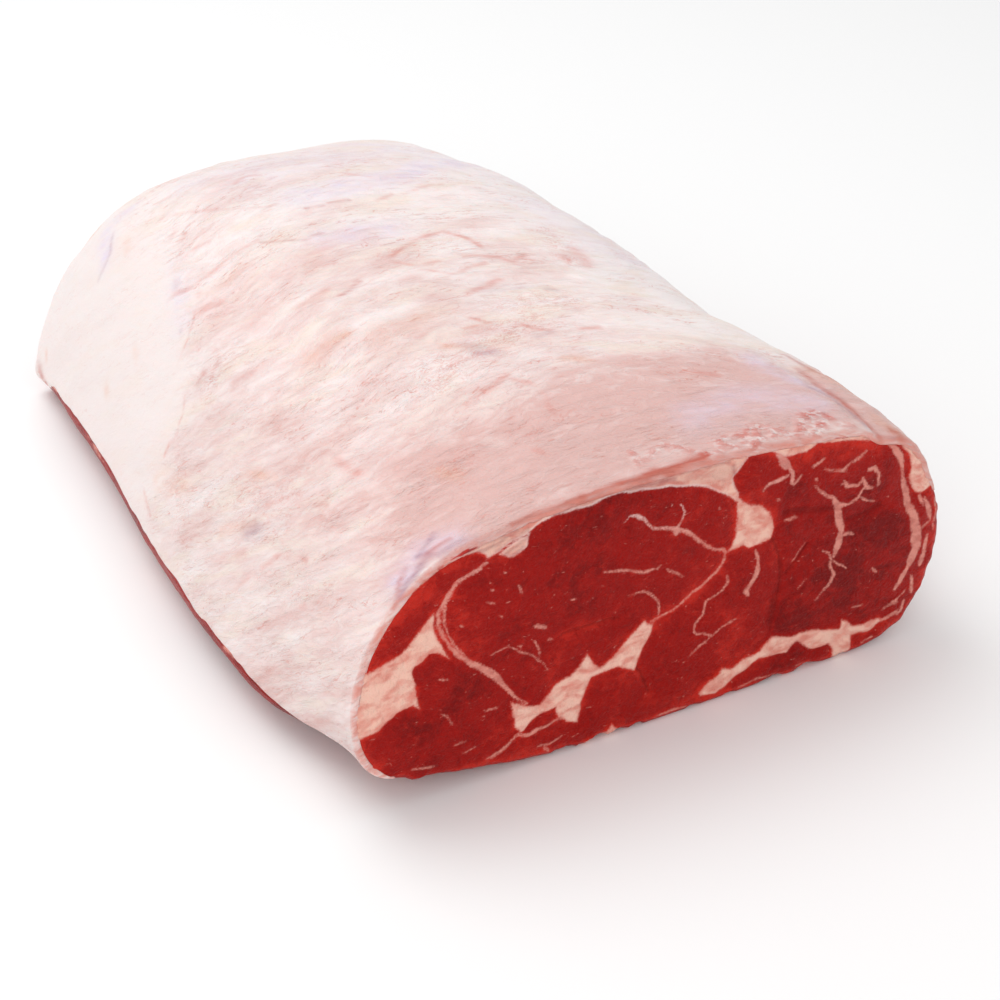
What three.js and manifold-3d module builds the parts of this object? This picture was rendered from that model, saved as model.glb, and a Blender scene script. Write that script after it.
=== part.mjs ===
// A raw boneless beef rib roast lying on its rib side: a lean core of several muscles under a fat cap,
// with three thick seams of fat that run through it from one cut face to the other.
// Millimetres. X runs across the roast, Y along it with the near cut face at -Y, and Z up.
import * as THREE from "three";
import Module from "manifold-3d";

const LENGTH = 340;
const HALF = LENGTH / 2;
// X of the middle between the flanks, in the coordinates that the outlines below are drawn in.
const MIDDLE_X = -3.51;
// Clearance between neighbouring pieces.
const GAP = 0.3;

// Samples round the cross-section, the first and last of them that the fat cap covers, and along the roast.
const RING_SAMPLES = 60;
const CAP_FIRST = 19;
const CAP_LAST = 53;
const STATION_COUNT = 29;
const END_MARGIN = 4;
// The part of a sample's step over which the outline's direction is measured.
const DIRECTION_STEP = 0.25;
// Samples in from each edge of the cap over which its relief grows to the full.
const RELIEF_FADE = 3;

// Landmarks of the cross-section, counter-clockwise seen from -Y and starting underneath:
// X and Z at the near face, X and Z from BLEND_LENGTH behind it on, and the depth of the fat cap.
const LANDMARKS = [
  [-40, 0.5, -60, 0, 0],
  [0, 0, 0, 0, 0],
  [60, 0, 55, 0, 0],
  [98, 3, 90, 3, 0],
  [112, 14, 105, 16, 0],
  [118, 30, 110, 34, 0],
  [119.5, 47, 109, 52, 0],
  [115, 64, 102, 70, 4],
  [105, 81, 90, 84, 8],
  [86, 95, 70, 95, 6],
  [50, 101.5, 42, 101.5, 7],
  [22, 103.5, 18, 103.5, 15],
  [-8, 104, -10, 104, 5],
  [-38, 103, -38, 102.5, 4],
  [-68, 99, -68, 98, 4],
  [-92, 91, -91, 88, 5],
  [-109, 74, -104, 72, 7],
  [-118, 52, -113, 50, 22],
  [-119, 32, -119, 28, 6],
  [-112, 18, -120.5, 11, 3],
  [-92, 9.5, -108, 1.5, 0],
  [-66, 4.5, -86, 0, 0],
];
const BLEND_LENGTH = 80;

// How the cross-section changes along the roast, as shares of the near face: its height, its reach
// to the left and to the right, and how much of its height it loses SLOPE_REACH to the right.
const PROFILE = [
  { y: -170, height: 1.0, left: 1.0, right: 1.0, slope: 0 },
  { y: -120, height: 1.12, left: 1.02, right: 1.01, slope: 0 },
  { y: -60, height: 1.14, left: 1.04, right: 0.96, slope: 0.04 },
  { y: 0, height: 1.15, left: 1.02, right: 0.95, slope: 0.04 },
  { y: 60, height: 1.16, left: 0.97, right: 0.92, slope: 0.06 },
  { y: 120, height: 1.08, left: 0.94, right: 0.84, slope: 0.06 },
  { y: 150, height: 0.94, left: 0.92, right: 0.79, slope: -0.02 },
  { y: 170, height: 0.77, left: 0.92, right: 0.77, slope: -0.07 },
];
const SLOPE_REACH = 120;

// Cut muscles bulge out of each end face: the middle, half width, half height and rise of each dome.
const MUSCLES = {
  eye: { x: -24, z: 61, halfWidth: 60, halfHeight: 34, rise: 2.0 },
  eyeCap: { x: -82, z: 86, halfWidth: 24, halfHeight: 12, rise: 1.2 },
  middle: { x: 36, z: 42, halfWidth: 17, halfHeight: 24, rise: 1.6 },
  blade: { x: 80, z: 60, halfWidth: 32, halfHeight: 42, rise: 2.0 },
  flank: { x: -86, z: 29, halfWidth: 30, halfHeight: 24, rise: 1.8 },
  chain: { x: 10, z: 20, halfWidth: 24, halfHeight: 22, rise: 1.3 },
};
const MOST_RISE = 2.0;
// How much of its size at the near face the pattern of muscles keeps at the far face.
const FAR_FACE = { across: 0.84, up: 0.8 };
// Shares of the cross-section at which the rings of an end face lie, from its middle outwards.
const FACE_RINGS = [0.2, 0.42, 0.62, 0.8, 0.93];
const FACE_CENTRE_Z = 50;
// How the rim of the lean and of the cap rounds over into an end face: depth below the flank at
// each distance in from the end.
const LEAN_RIM = [{ in: 1.5, depth: 0.8 }];
const CAP_RIM = [{ in: 0, depth: 1.6 }, { in: 1.5, depth: 0.4 }];

// Seams of fat in the near face, counter-clockwise seen from -Y. They run the length of the roast.
const SEAM_UPPER = [
  [26, 63], [34, 62], [43, 63.5], [45, 70], [42, 75.5], [36, 80], [30, 82], [28, 75], [28, 68],
];
const SEAM_LOWER = [
  [-36, 12.5], [-32, 20], [-28, 28], [-18, 29.5], [-10, 27], [-6, 37], [-5, 44.5], [-10, 45.5],
  [-17, 39], [-25, 33.5], [-30, 39.5], [-36, 34.5], [-44, 31], [-52, 27.5], [-59, 29], [-59, 19],
  [-51, 18], [-43, 20],
];
const SEAM_RIB_SIDE = [
  [18, 6], [30, 7.5], [44, 11], [58, 12.5], [72, 8.5], [84, 8], [88, 11], [78, 17], [64, 18],
  [50, 20.5], [38, 16], [26, 13.5],
];
const SEAM_END_IN = 0.8;
const SEAM_STATIONS = 9;
const SEAM_SAMPLES_PER_POINT = 2;

// Relief of the fat cap: broad lumps, and folds that run along X and bend, with their slope at X = 0
// and its change for each millimetre.
const LUMP = { size: 60, rise: 1.5 };
const FOLD = { along: 90, across: 22, rise: 1.5, slope: -0.1, bend: -0.0055 };
// Hollows pressed into the cap: the middle, radius and depth of each.
const DENTS = [
  { x: -88, y: 60, z: 96, radius: 26, depth: 2.4 },
  { x: -101, y: 22, z: 84, radius: 22, depth: 2.2 },
  { x: -80, y: -58, z: 104, radius: 20, depth: 1.8 },
  { x: 4, y: 20, z: 118, radius: 30, depth: 1.6 },
];
// The crease that sets off a roll of fat along the upper right rim, fading out behind the near face.
const CREASE = { x: 90, lean: 0.42, halfWidth: 7, depth: 3.2, length: 85 };

// The rib side: shallow hollows where the ribs lay, between the bands of meat that lie flat.
const RIB = { spacing: 47, halfWidth: 11, depth: 2.0, skew: 0.12, count: 7 };
const RIB_REACH_Z = 10;

// Colours, read as sRGB, and roughnesses.
const LEAN_FINISH = { color: 0xa2241f, roughness: 0.35 };
const CAP_FINISH = { color: 0xf3dad5, roughness: 0.5 };
const SEAM_FINISH = { color: 0xdcb4a4, roughness: 0.45 };

function smoothstep(value) {
  const t = THREE.MathUtils.clamp(value, 0, 1);
  return t * t * (3 - 2 * t);
}

// A repeatable value between 0 and 1 for each cell of a cubic lattice.
function latticeValue(i, j, k) {
  let h = Math.imul(i, 374761393) ^ Math.imul(j, 668265263) ^ Math.imul(k, 1274126177);
  h = Math.imul(h ^ (h >>> 13), 1274126177);
  h ^= h >>> 16;
  return (h >>> 0) / 2 ** 32;
}

// Smooth noise between -1 and 1 that varies over a distance of one.
function noise(x, y, z) {
  const [i, j, k] = [Math.floor(x), Math.floor(y), Math.floor(z)];
  const [u, v, w] = [smoothstep(x - i), smoothstep(y - j), smoothstep(z - k)];
  let sum = 0;
  for (let corner = 0; corner < 8; corner += 1) {
    const [a, b, c] = [corner & 1, (corner >> 1) & 1, corner >> 2];
    const weight = (a ? u : 1 - u) * (b ? v : 1 - v) * (c ? w : 1 - w);
    sum += weight * latticeValue(i + a, j + b, k + c);
  }
  return 2 * sum - 1;
}

// The profile's value of one kind at y, on a smooth curve through its stations.
function profileAt(y, kind) {
  const last = PROFILE.length - 1;
  const at = THREE.MathUtils.clamp(y, PROFILE[0].y, PROFILE[last].y);
  let i = PROFILE.findIndex((station) => station.y > at) - 1;
  if (i < 0) i = last - 1;
  const slopeAt = (j) => {
    const before = PROFILE[Math.max(j - 1, 0)];
    const after = PROFILE[Math.min(j + 1, last)];
    return (after[kind] - before[kind]) / (after.y - before.y);
  };
  const span = PROFILE[i + 1].y - PROFILE[i].y;
  const t = (at - PROFILE[i].y) / span;
  return (
    (2 * t ** 3 - 3 * t ** 2 + 1) * PROFILE[i][kind] +
    (t ** 3 - 2 * t ** 2 + t) * span * slopeAt(i) +
    (3 * t ** 2 - 2 * t ** 3) * PROFILE[i + 1][kind] +
    (t ** 3 - t ** 2) * span * slopeAt(i + 1)
  );
}

// Where a point drawn in the near face lies in the cross-section at y.
function place(x, z, y) {
  const reach = profileAt(y, x < 0 ? "left" : "right");
  const drop = 1 - (profileAt(y, "slope") * x) / SLOPE_REACH;
  return new THREE.Vector3(x * reach, y, Math.max(z * profileAt(y, "height") * drop, 0));
}

function closedCurve(points) {
  const corners = points.map(([x, z]) => new THREE.Vector3(x, 0, z));
  return new THREE.CatmullRomCurve3(corners, true, "centripetal");
}

const nearCurve = closedCurve(LANDMARKS.map(([x, z]) => [x, z]));
const farCurve = closedCurve(LANDMARKS.map(([, , x, z]) => [x, z]));

// The point of the smooth outline at a share of the way round it, in the cross-section at y.
function outlineAt(share, y) {
  const turn = share - Math.floor(share);
  const blend = smoothstep((y + HALF) / BLEND_LENGTH);
  const drawn = nearCurve.getPoint(turn).lerp(farCurve.getPoint(turn), blend);
  return place(drawn.x, drawn.z, y);
}

// The outward direction of the outline, within the cross-section.
function outwardAt(share, y) {
  const step = DIRECTION_STEP / RING_SAMPLES;
  const along = outlineAt(share + step, y).sub(outlineAt(share - step, y));
  return new THREE.Vector3(along.z, 0, -along.x).normalize();
}

// Depth of the fat cap at a share of the way round the outline.
function capDepthAt(share) {
  const landmark = share * LANDMARKS.length;
  const i = Math.floor(landmark);
  const here = LANDMARKS[i % LANDMARKS.length][4];
  const next = LANDMARKS[(i + 1) % LANDMARKS.length][4];
  return THREE.MathUtils.lerp(here, next, smoothstep(landmark - i));
}

function isUnderCap(sample) {
  return sample >= CAP_FIRST && sample <= CAP_LAST;
}

// How far the cap's outer surface stands out of the smooth outline.
function capRelief(point, share) {
  const across = point.y - FOLD.slope * point.x - 0.5 * FOLD.bend * point.x ** 2;
  let rise = LUMP.rise * noise(point.x / LUMP.size, point.y / LUMP.size, point.z / LUMP.size);
  rise += FOLD.rise * noise(point.x / FOLD.along, across / FOLD.across, point.z / FOLD.along);
  for (const dent of DENTS) {
    const away = point.distanceTo(new THREE.Vector3(dent.x, dent.y, dent.z)) / dent.radius;
    rise -= dent.depth * Math.exp(-away * away);
  }
  const behind = point.y + HALF;
  const creaseX = CREASE.x - CREASE.lean * behind;
  const fromCrease = (point.x - creaseX) / CREASE.halfWidth;
  rise -= CREASE.depth * Math.exp(-fromCrease * fromCrease) * smoothstep(1 - behind / CREASE.length);
  const sample = share * RING_SAMPLES;
  const fromStart = smoothstep((sample - CAP_FIRST) / RELIEF_FADE);
  const fromEnd = smoothstep((CAP_LAST - sample) / RELIEF_FADE);
  return rise * fromStart * fromEnd;
}

// How deep the hollows of the ribs are at a point of the underside.
function ribHollow(point) {
  if (point.z > RIB_REACH_Z) return 0;
  const fade = 1 - smoothstep(point.z / RIB_REACH_Z);
  let depth = 0;
  for (let rib = 0; rib < RIB.count; rib += 1) {
    const middle = (rib - (RIB.count - 1) / 2) * RIB.spacing + RIB.skew * point.x;
    const away = Math.min(Math.abs(point.y - middle) / RIB.halfWidth, 1);
    depth = Math.max(depth, RIB.depth * (1 - smoothstep(away)));
  }
  return depth * fade;
}

// How far the muscles bulge out of an end face at a point drawn in the near face.
function faceDome(x, z) {
  let rise = 0;
  for (const muscle of Object.values(MUSCLES)) {
    const across = (x - muscle.x) / muscle.halfWidth;
    const up = (z - muscle.z) / muscle.halfHeight;
    const inside = Math.max(1 - across * across - up * up, 0);
    rise = Math.max(rise, muscle.rise * Math.sqrt(inside));
  }
  return rise;
}

// A point of the lean's flank: under the cap it leaves room for the cap.
function leanPoint(sample, y, depth) {
  const share = sample / RING_SAMPLES;
  const point = outlineAt(share, y);
  const outward = outwardAt(share, y);
  const room = isUnderCap(sample) ? capDepthAt(share) + GAP : 0;
  point.addScaledVector(outward, -(room + depth));
  if (!isUnderCap(sample)) point.z += ribHollow(point);
  point.z = Math.max(point.z, 0);
  return point;
}

function leanRing(y, depth) {
  return Array.from({ length: RING_SAMPLES }, (_, sample) => leanPoint(sample, y, depth));
}

// The rings of one end face of the lean, from its middle outwards; end is -1 near and 1 far.
function leanFaceRings(end) {
  const rim = leanRing(end * (HALF - MOST_RISE), LEAN_RIM[0].depth);
  const reach = end < 0 ? { across: 1, up: 1 } : FAR_FACE;
  const centreZ = FACE_CENTRE_Z * reach.up;
  return FACE_RINGS.map((share) =>
    rim.map((corner) => {
      const x = corner.x * share;
      const z = centreZ + (corner.z - centreZ) * share;
      const dome = faceDome(x / reach.across, z / reach.up);
      return new THREE.Vector3(x, end * (HALF - MOST_RISE + dome), z);
    }),
  );
}

// A ring round the cap's cross-section: its outer side from first to last sample, then its inner side back.
function capRing(y, depth) {
  const samples = Array.from({ length: CAP_LAST - CAP_FIRST + 1 }, (_, i) => CAP_FIRST + i);
  const outer = samples.map((sample) => {
    const share = sample / RING_SAMPLES;
    const point = outlineAt(share, y);
    return point.addScaledVector(outwardAt(share, y), capRelief(point, share) - depth);
  });
  const inner = samples.reverse().map((sample) => {
    const share = sample / RING_SAMPLES;
    return outlineAt(share, y).addScaledVector(outwardAt(share, y), -capDepthAt(share));
  });
  return [...outer, ...inner];
}

// A ring round a seam of fat, grown all round by some clearance.
function seamRing(corners, y, growth) {
  const curve = closedCurve(corners);
  const count = corners.length * SEAM_SAMPLES_PER_POINT;
  return Array.from({ length: count }, (_, i) => {
    const ahead = curve.getPoint(((i + 0.5) / count) % 1);
    const behind = curve.getPoint(((i + count - 0.5) / count) % 1);
    const outward = new THREE.Vector3(ahead.z - behind.z, 0, behind.x - ahead.x).normalize();
    const drawn = curve.getPoint(i / count);
    return place(drawn.x, drawn.z, y).addScaledVector(outward, growth);
  });
}

// The triangles that close a ring, counter-clockwise seen from -Y.
function closingTriangles(ring) {
  const flat = ring.map((point) => new THREE.Vector2(point.x, point.z));
  return THREE.ShapeUtils.triangulateShape(flat, []).map(([a, b, c]) => {
    const corner = flat[a];
    const turn = flat[b].clone().sub(corner).cross(flat[c].clone().sub(corner));
    return turn > 0 ? [a, b, c] : [a, c, b];
  });
}

// A closed surface over rings with equal point counts, given from the near end to the far end.
// From turnedFrom on, each quad is split along its other diagonal.
function skin(rings, turnedFrom = Infinity) {
  const count = rings[0].length;
  const triangles = [];
  for (let r = 0; r + 1 < rings.length; r += 1) {
    for (let i = 0; i < count; i += 1) {
      const a = r * count + i;
      const b = r * count + ((i + 1) % count);
      const c = b + count;
      const d = a + count;
      if (i < turnedFrom) triangles.push([a, c, b], [a, d, c]);
      else triangles.push([a, d, b], [b, d, c]);
    }
  }
  const farStart = (rings.length - 1) * count;
  triangles.push(...closingTriangles(rings[0]));
  for (const [a, b, c] of closingTriangles(rings[rings.length - 1])) {
    triangles.push([farStart + a, farStart + c, farStart + b]);
  }
  const geometry = new THREE.BufferGeometry();
  const numbers = rings.flat().flatMap((point) => [point.x - MIDDLE_X, point.y, point.z]);
  geometry.setAttribute("position", new THREE.Float32BufferAttribute(numbers, 3));
  geometry.setIndex(triangles.flat());
  return geometry;
}

// Places along the roast where both the lean and the cap have a ring.
const stations = Array.from({ length: STATION_COUNT }, (_, i) => {
  const share = i / (STATION_COUNT - 1);
  return THREE.MathUtils.lerp(-(HALF - END_MARGIN), HALF - END_MARGIN, share);
});

function makeCap() {
  const near = CAP_RIM.map((rim) => capRing(-(HALF - rim.in), rim.depth));
  const far = CAP_RIM.map((rim) => capRing(HALF - rim.in, rim.depth)).reverse();
  const turnedFrom = CAP_LAST - CAP_FIRST + 1;
  return skin([...near, ...stations.map((y) => capRing(y, 0)), ...far], turnedFrom);
}

function makeLean() {
  const near = LEAN_RIM.map((rim) => leanRing(-(HALF - rim.in), rim.depth));
  const far = LEAN_RIM.map((rim) => leanRing(HALF - rim.in, rim.depth));
  const flanks = stations.map((y) => leanRing(y, 0));
  return skin([...leanFaceRings(-1), ...near, ...flanks, ...far, ...leanFaceRings(1).reverse()]);
}

function movedAlong(ring, distance) {
  return ring.map((point) => new THREE.Vector3(point.x, point.y + distance, point.z));
}

// A seam of fat from end to end, grown all round by some clearance and run on past both its ends.
function makeSeam(corners, growth, overrun) {
  const halfLength = HALF - SEAM_END_IN;
  const rings = Array.from({ length: SEAM_STATIONS }, (_, i) => {
    const y = THREE.MathUtils.lerp(-halfLength, halfLength, i / (SEAM_STATIONS - 1));
    return seamRing(corners, y, growth);
  });
  if (overrun > 0) {
    rings.unshift(movedAlong(rings[0], -overrun));
    rings.push(movedAlong(rings[rings.length - 1], overrun));
  }
  return skin(rings);
}

const wasm = await Module();
wasm.setup();

function toSolid(geometry) {
  const vertProperties = geometry.getAttribute("position").array;
  const triVerts = new Uint32Array(geometry.index.array);
  return new wasm.Manifold(new wasm.Mesh({ numProp: 3, vertProperties, triVerts }));
}

function toGeometry(solid) {
  const mesh = solid.getMesh();
  const geometry = new THREE.BufferGeometry();
  geometry.setAttribute("position", new THREE.Float32BufferAttribute(mesh.vertProperties, 3));
  geometry.setIndex([...mesh.triVerts]);
  return geometry;
}

function material(finish) {
  return new THREE.MeshStandardMaterial({ ...finish, metalness: 0 });
}

function addPiece(group, name, geometry, finish) {
  geometry.computeVertexNormals();
  const mesh = new THREE.Mesh(geometry, material(finish));
  mesh.name = name;
  group.add(mesh);
}

const roast = new THREE.Group();
const seams = {
  seam_fat_upper: SEAM_UPPER,
  seam_fat_lower: SEAM_LOWER,
  seam_fat_rib_side: SEAM_RIB_SIDE,
};

let leanSolid = toSolid(makeLean());
for (const corners of Object.values(seams)) {
  leanSolid = leanSolid.subtract(toSolid(makeSeam(corners, GAP, END_MARGIN)));
}
addPiece(roast, "lean", toGeometry(leanSolid), LEAN_FINISH);
addPiece(roast, "fat_cap", makeCap(), CAP_FINISH);
for (const [name, corners] of Object.entries(seams)) {
  addPiece(roast, name, makeSeam(corners, 0, 0), SEAM_FINISH);
}

export default roast;
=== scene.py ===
"""The looks of a raw boneless rib roast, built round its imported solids.

Shapes are worked out in the drawn frame of the roast, in millimetres: X across, Y along with the near
cut face at -Y, Z up. to_metres() moves them into the frame of the solids.
"""
import math

import bpy
import mathutils
import numpy as np
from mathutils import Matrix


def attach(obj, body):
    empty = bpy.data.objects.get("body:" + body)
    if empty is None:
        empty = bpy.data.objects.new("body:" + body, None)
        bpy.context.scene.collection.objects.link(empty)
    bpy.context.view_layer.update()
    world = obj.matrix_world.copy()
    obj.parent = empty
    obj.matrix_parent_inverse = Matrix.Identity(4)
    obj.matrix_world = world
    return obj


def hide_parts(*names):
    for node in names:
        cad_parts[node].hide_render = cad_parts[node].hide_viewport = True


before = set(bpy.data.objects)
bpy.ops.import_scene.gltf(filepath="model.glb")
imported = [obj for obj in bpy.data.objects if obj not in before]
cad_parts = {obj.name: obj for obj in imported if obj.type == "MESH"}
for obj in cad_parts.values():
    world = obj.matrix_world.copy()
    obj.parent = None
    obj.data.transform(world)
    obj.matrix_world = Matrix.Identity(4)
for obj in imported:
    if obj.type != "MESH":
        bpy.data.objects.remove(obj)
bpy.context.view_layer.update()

MM = 0.001
LENGTH = 340.0
HALF = LENGTH / 2
MIDDLE_X = -3.51

# Landmarks of the cross-section, counter-clockwise seen from -Y: X and Z at the near face, and X and
# Z from BLEND_LENGTH behind it on.
LANDMARKS = np.array([
    (-40, 0.5, -60, 0), (0, 0, 0, 0), (60, 0, 55, 0), (98, 3, 90, 3), (112, 14, 105, 16),
    (118, 30, 110, 34), (119.5, 47, 109, 52), (115, 64, 102, 70), (105, 81, 90, 84), (86, 95, 70, 95),
    (50, 101.5, 42, 101.5), (22, 103.5, 18, 103.5), (-8, 104, -10, 104), (-38, 103, -38, 102.5),
    (-68, 99, -68, 98), (-92, 91, -91, 88), (-109, 74, -104, 72), (-118, 52, -113, 50),
    (-119, 32, -119, 28), (-112, 18, -120.5, 11), (-92, 9.5, -108, 1.5), (-66, 4.5, -86, 0),
], float)
BLEND_LENGTH = 80.0

FLOOR_HALF, FLOOR_WHITE = 20.0, (0.96, 0.96, 0.96, 1.0)
WORLD_STRENGTH = 0.7
LAMPS = [  # Name, place, width, power.
    ("top_softbox", (-0.35, 0.45, 1.3), 1.0, 8.0), ("front_fill", (-0.9, -1.3, 0.9), 0.8, 6.0),
]
LAMP_TARGET = (0.0, 0.0, 0.05)
CAMERA_AZIMUTH, CAMERA_ELEVATION, CAMERA_DISTANCE = -29.0, 31.5, 0.85
CAMERA_LENS, CAMERA_SENSOR = 83.0, 36.0
CAMERA_TARGET = (-0.01249, -0.082, 0.05)

# Stations along the roast: Y, then shares of the near face's height, left reach and right reach, and
# the share of height lost SLOPE_REACH to the right.
PROFILE = np.array([
    (-170, 1.0, 1.0, 1.0, 0), (-120, 1.12, 1.02, 1.01, 0), (-60, 1.14, 1.04, 0.96, 0.04),
    (0, 1.15, 1.02, 0.95, 0.04), (60, 1.16, 0.97, 0.92, 0.06), (120, 1.08, 0.94, 0.84, 0.06),
    (150, 0.94, 0.92, 0.79, -0.02), (170, 0.77, 0.92, 0.77, -0.07),
], float)
HEIGHT, LEFT, RIGHT, SLOPE = 1, 2, 3, 4
SLOPE_REACH = 120.0

# The cap covers the outline from one share of the way round it to the other.
CAP_START, CAP_END = 19 / 60, 53 / 60
CAP_THICK, CAP_TIP_THICK = 2.6, 1.2
# How far its edges wander, broadly and finely, and how far the back of the second one is pulled up.
EDGE_WANDER, EDGE_RAGGED, EDGE_PULL = 0.0025, 0.0012, 0.031

LUMP_SIZE, LUMP_RISE = 60.0, 1.5
FOLD_ALONG, FOLD_ACROSS, FOLD_RISE = 90.0, 22.0, 1.5
# The folds and streaks of the cap run along X and bend: their slope at X = 0, and its change a mm.
FLOW_SLOPE, FLOW_BEND = -0.1, -0.0055
# How far the cap's fine forms rise: streaks, ridges along them, broad ridges, roughness, scales, the
# uneven near edge on the right, and crumbs of fat on it.
STREAK_RISE, RIDGE_RISE, BROAD_RISE, ROUGH_RISE, SCALE_RISE = 0.3, 0.45, 0.9, 0.12, 0.22
EDGE_RISE, CRUMB_RISE = 0.4, 1.1
# Where that near edge sets in, in X and Y, and over what lengths.
EDGE_X, EDGE_Y, EDGE_REACH_X, EDGE_REACH_Y = 12.0, -150.0, 20.0, 12.0
# How pink the cap is at the back, how much pinker along its middle, at the near face and on the near
# left flank, how much paler on its right, and how much patches vary it.
# The rise in pink along the middle and at the near face is partly the fat's own colour and partly painted
# shade towards the near end.
PINK_BACK, PINK_AND_SHADE_MIDDLE, PINK_AND_SHADE_NEAR, PINK_FLANK = 0.24, 0.14, 0.68, 0.14
PALE_RIGHT, PINK_PATCHES = 0.3, 0.22
# Below this height the streaks of the flank run towards the near face as they rise, by this slope.
FLANK_FLOW_Z, FLANK_FLOW_SLOPE = 112.0, 1.3
DENTS = [  # X, Y, Z, radius, depth
    (-88, 60, 96, 26, 2.4), (-101, 22, 84, 22, 2.2), (-80, -58, 104, 20, 1.8), (4, 20, 118, 30, 1.6),
]
CREASE_X, CREASE_LEAN, CREASE_HALF_WIDTH, CREASE_DEPTH, CREASE_LENGTH = 90.0, 0.42, 7.0, 3.2, 85.0
RIB_SPACING, RIB_HALF_WIDTH, RIB_DEPTH, RIB_SKEW, RIB_COUNT = 47.0, 11.0, 2.0, 0.12, 7
RIB_REACH_Z = 10.0

# The cap's skin: point spacings, and how its cut edges roll over, as a length and a share of its thickness.
CAP_SPACING_TURN, CAP_SPACING_Y, CAP_INNER_ROWS = 1.25, 1.4, 40
CAP_ROLL, CAP_ROLL_SHARE, CAP_END_BACK = 1.5, 0.6, 0.45
# How ragged its cut edges are, how far its long edges sink into the lean, how far the lean reaches into
# it near the ends, and how far the lean stays clear of it in between.
CAP_RAGGED, CAP_SINK, TUCK, HIDDEN_CLEARANCE = 0.45, 0.35, 0.35, 1.2

# The lean's mesh: point spacings on the near face, the far face and the flank, and the line that the
# rings of a face shrink to, as a share of its width and a height in the near face's drawing.
NEAR_SPACING, FAR_SPACING, FLANK_SPACING, FLANK_STATION = 0.72, 1.25, 1.9, 2.4
MEDIAL_SHARE, MEDIAL_Z = 0.58, 49.0
# The rim's rounding, how far the rim lies in from the ends, how muscles and fat stand out from there,
# and how deep the dark lines and folds lie.
RIM_ROUND, FACE_BACK, DOME_RISE, DOME_REACH, FAT_RISE = 2.2, 1.2, 1.5, 8.0, 0.6
CREASE_SINK, FOLD_SINK = 0.4, 0.5
# How much lighter the lean is at borders of muscles, near the rim and at the rim, and over what lengths.
BORDER_GLOW, RIM_GLOW, EDGE_GLOW = 0.8, 0.3, 0.5
BORDER_GLOW_REACH, RIM_GLOW_REACH, EDGE_GLOW_REACH = 1.4, 5.0, 1.6
# The bare lean near its ends: how far in it is torn, how far the tears and the grain rise, and how far
# its foot is lifted off the surface that it lies on.
TORN_REACH, TORN_RISE, GRAIN_RISE, FOOT_LIFT = 14.0, 1.5, 0.35, 2.4
# How far its side is from showing as fat, and how much streaks and specks bring it to that. The same
# for the film of the underside, with rib hollows, clouds and specks.
SIDE_BARE, SIDE_STREAKS, SIDE_SPECKS = 2.8, 5.0, 0.8
FILM_BARE, FILM_HOLLOWS, FILM_CLOUDS, FILM_SPECKS = 3.4, 4.2, 2.6, 1.4
UNDERSIDE_Z = 9.0
# The left flank is barer than the right one beyond this X.
LEFT_BARE, LEFT_BARE_X, LEFT_BARE_REACH = 1.8, -95.0, 10.0

# Fat that shows in the near face, as outlines in X and Z. The first lies between the lean and the cap.
TOP_FAT = [
    (-112, 74), (-106, 77.5), (-101, 82), (-97, 85), (-92, 88.5), (-84, 93), (-80, 94), (-72, 93.5),
    (-69.5, 92), (-69, 90), (-64, 92), (-58, 94), (-54, 95.5), (-50, 97.5), (-45, 99), (-34, 98.5),
    (-20, 100), (-10, 98.5), (0, 97), (10, 94), (16, 92), (20, 89), (25, 86), (29, 82.5), (29, 86),
    (27, 89), (26, 93), (28, 95), (30, 98), (32, 99.5), (38, 100.5), (42, 99), (46, 96), (56, 94.5),
    (61, 97.5), (64, 95.8), (68, 95.2), (73, 94.2), (78, 93.2), (83, 91.8), (86, 92), (89, 92.5),
    (94, 89.5), (98, 85.5), (101.8, 80), (103, 75), (102.6, 71), (104, 66), (106, 63.4), (109.5, 63),
    (112, 64), (125, 66), (120, 90), (90, 115), (0, 122), (-90, 112), (-125, 85),
]
KERNELS = [
    # The upper seam, at the right end of the eye.
    [(29, 84), (28, 82), (28.5, 75), (28, 69), (27, 65), (25.5, 63), (32, 64.5), (34, 62.5), (40, 62.5),
     (43.5, 63.5), (45, 68), (44, 71), (42, 75), (38, 79), (34, 80.5), (31, 82)],
    # The lower seam: its left lobe and its right arm.
    [(-60, 30), (-59, 18.5), (-56, 15.5), (-52, 19), (-48, 21), (-43, 22), (-42, 17), (-38, 13.5),
     (-34, 12), (-33, 16), (-31, 24), (-29, 29), (-25, 29.5), (-18, 30), (-14, 28), (-11, 26), (-9, 32),
     (-6, 38), (-4, 43), (-7, 44), (-8, 46), (-15, 40), (-20, 35), (-25, 32), (-28, 35), (-30, 40),
     (-33, 36.5), (-37, 33), (-40, 32.5), (-44, 30), (-49, 25), (-53, 25.5), (-57, 28)],
    # The rib side seam.
    [(16, 6), (20, 10), (25, 12), (26, 14.5), (30, 12), (35, 14.5), (42, 16), (47, 21), (50, 19.5),
     (56, 18), (62, 17.8), (68, 17), (77, 14), (78, 18), (81, 16), (83, 13.5), (88, 12.5), (95, 13),
     (97, 11), (92, 8.5), (86, 9), (83, 9), (83, 3), (82, 0), (75, -1), (75, 5), (73, 9), (66, 9),
     (64, 9.5), (60, 13), (58, 15), (54, 11.5), (48, 12), (42, 12.5), (36, 10), (31, 8), (28, 5.5),
     (24, 3.5), (17, 5)],
    # The flank seam, from the left rim in between the muscles.
    [(-122, 66), (-113, 60), (-101, 63.5), (-96, 68), (-91, 73), (-88, 76), (-88.5, 70), (-87.5, 65),
     (-86, 61), (-83.5, 56), (-87, 59), (-91, 60), (-93, 58), (-96, 57), (-97, 55), (-96, 50), (-96, 45),
     (-94, 39), (-97, 41.5), (-103, 41), (-110, 36), (-122, 34)],
    [(-62, 88.5), (-59.5, 87.5), (-56, 90), (-54.5, 91), (-53, 96), (-58, 94), (-65, 90.5)],
    [(-24, 1.5), (-20, 6.5), (-15.5, 1.5), (-20, -1)], [(-33, 0.5), (-27, 2.5), (-24, 0), (-30, -1)],
]
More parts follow.
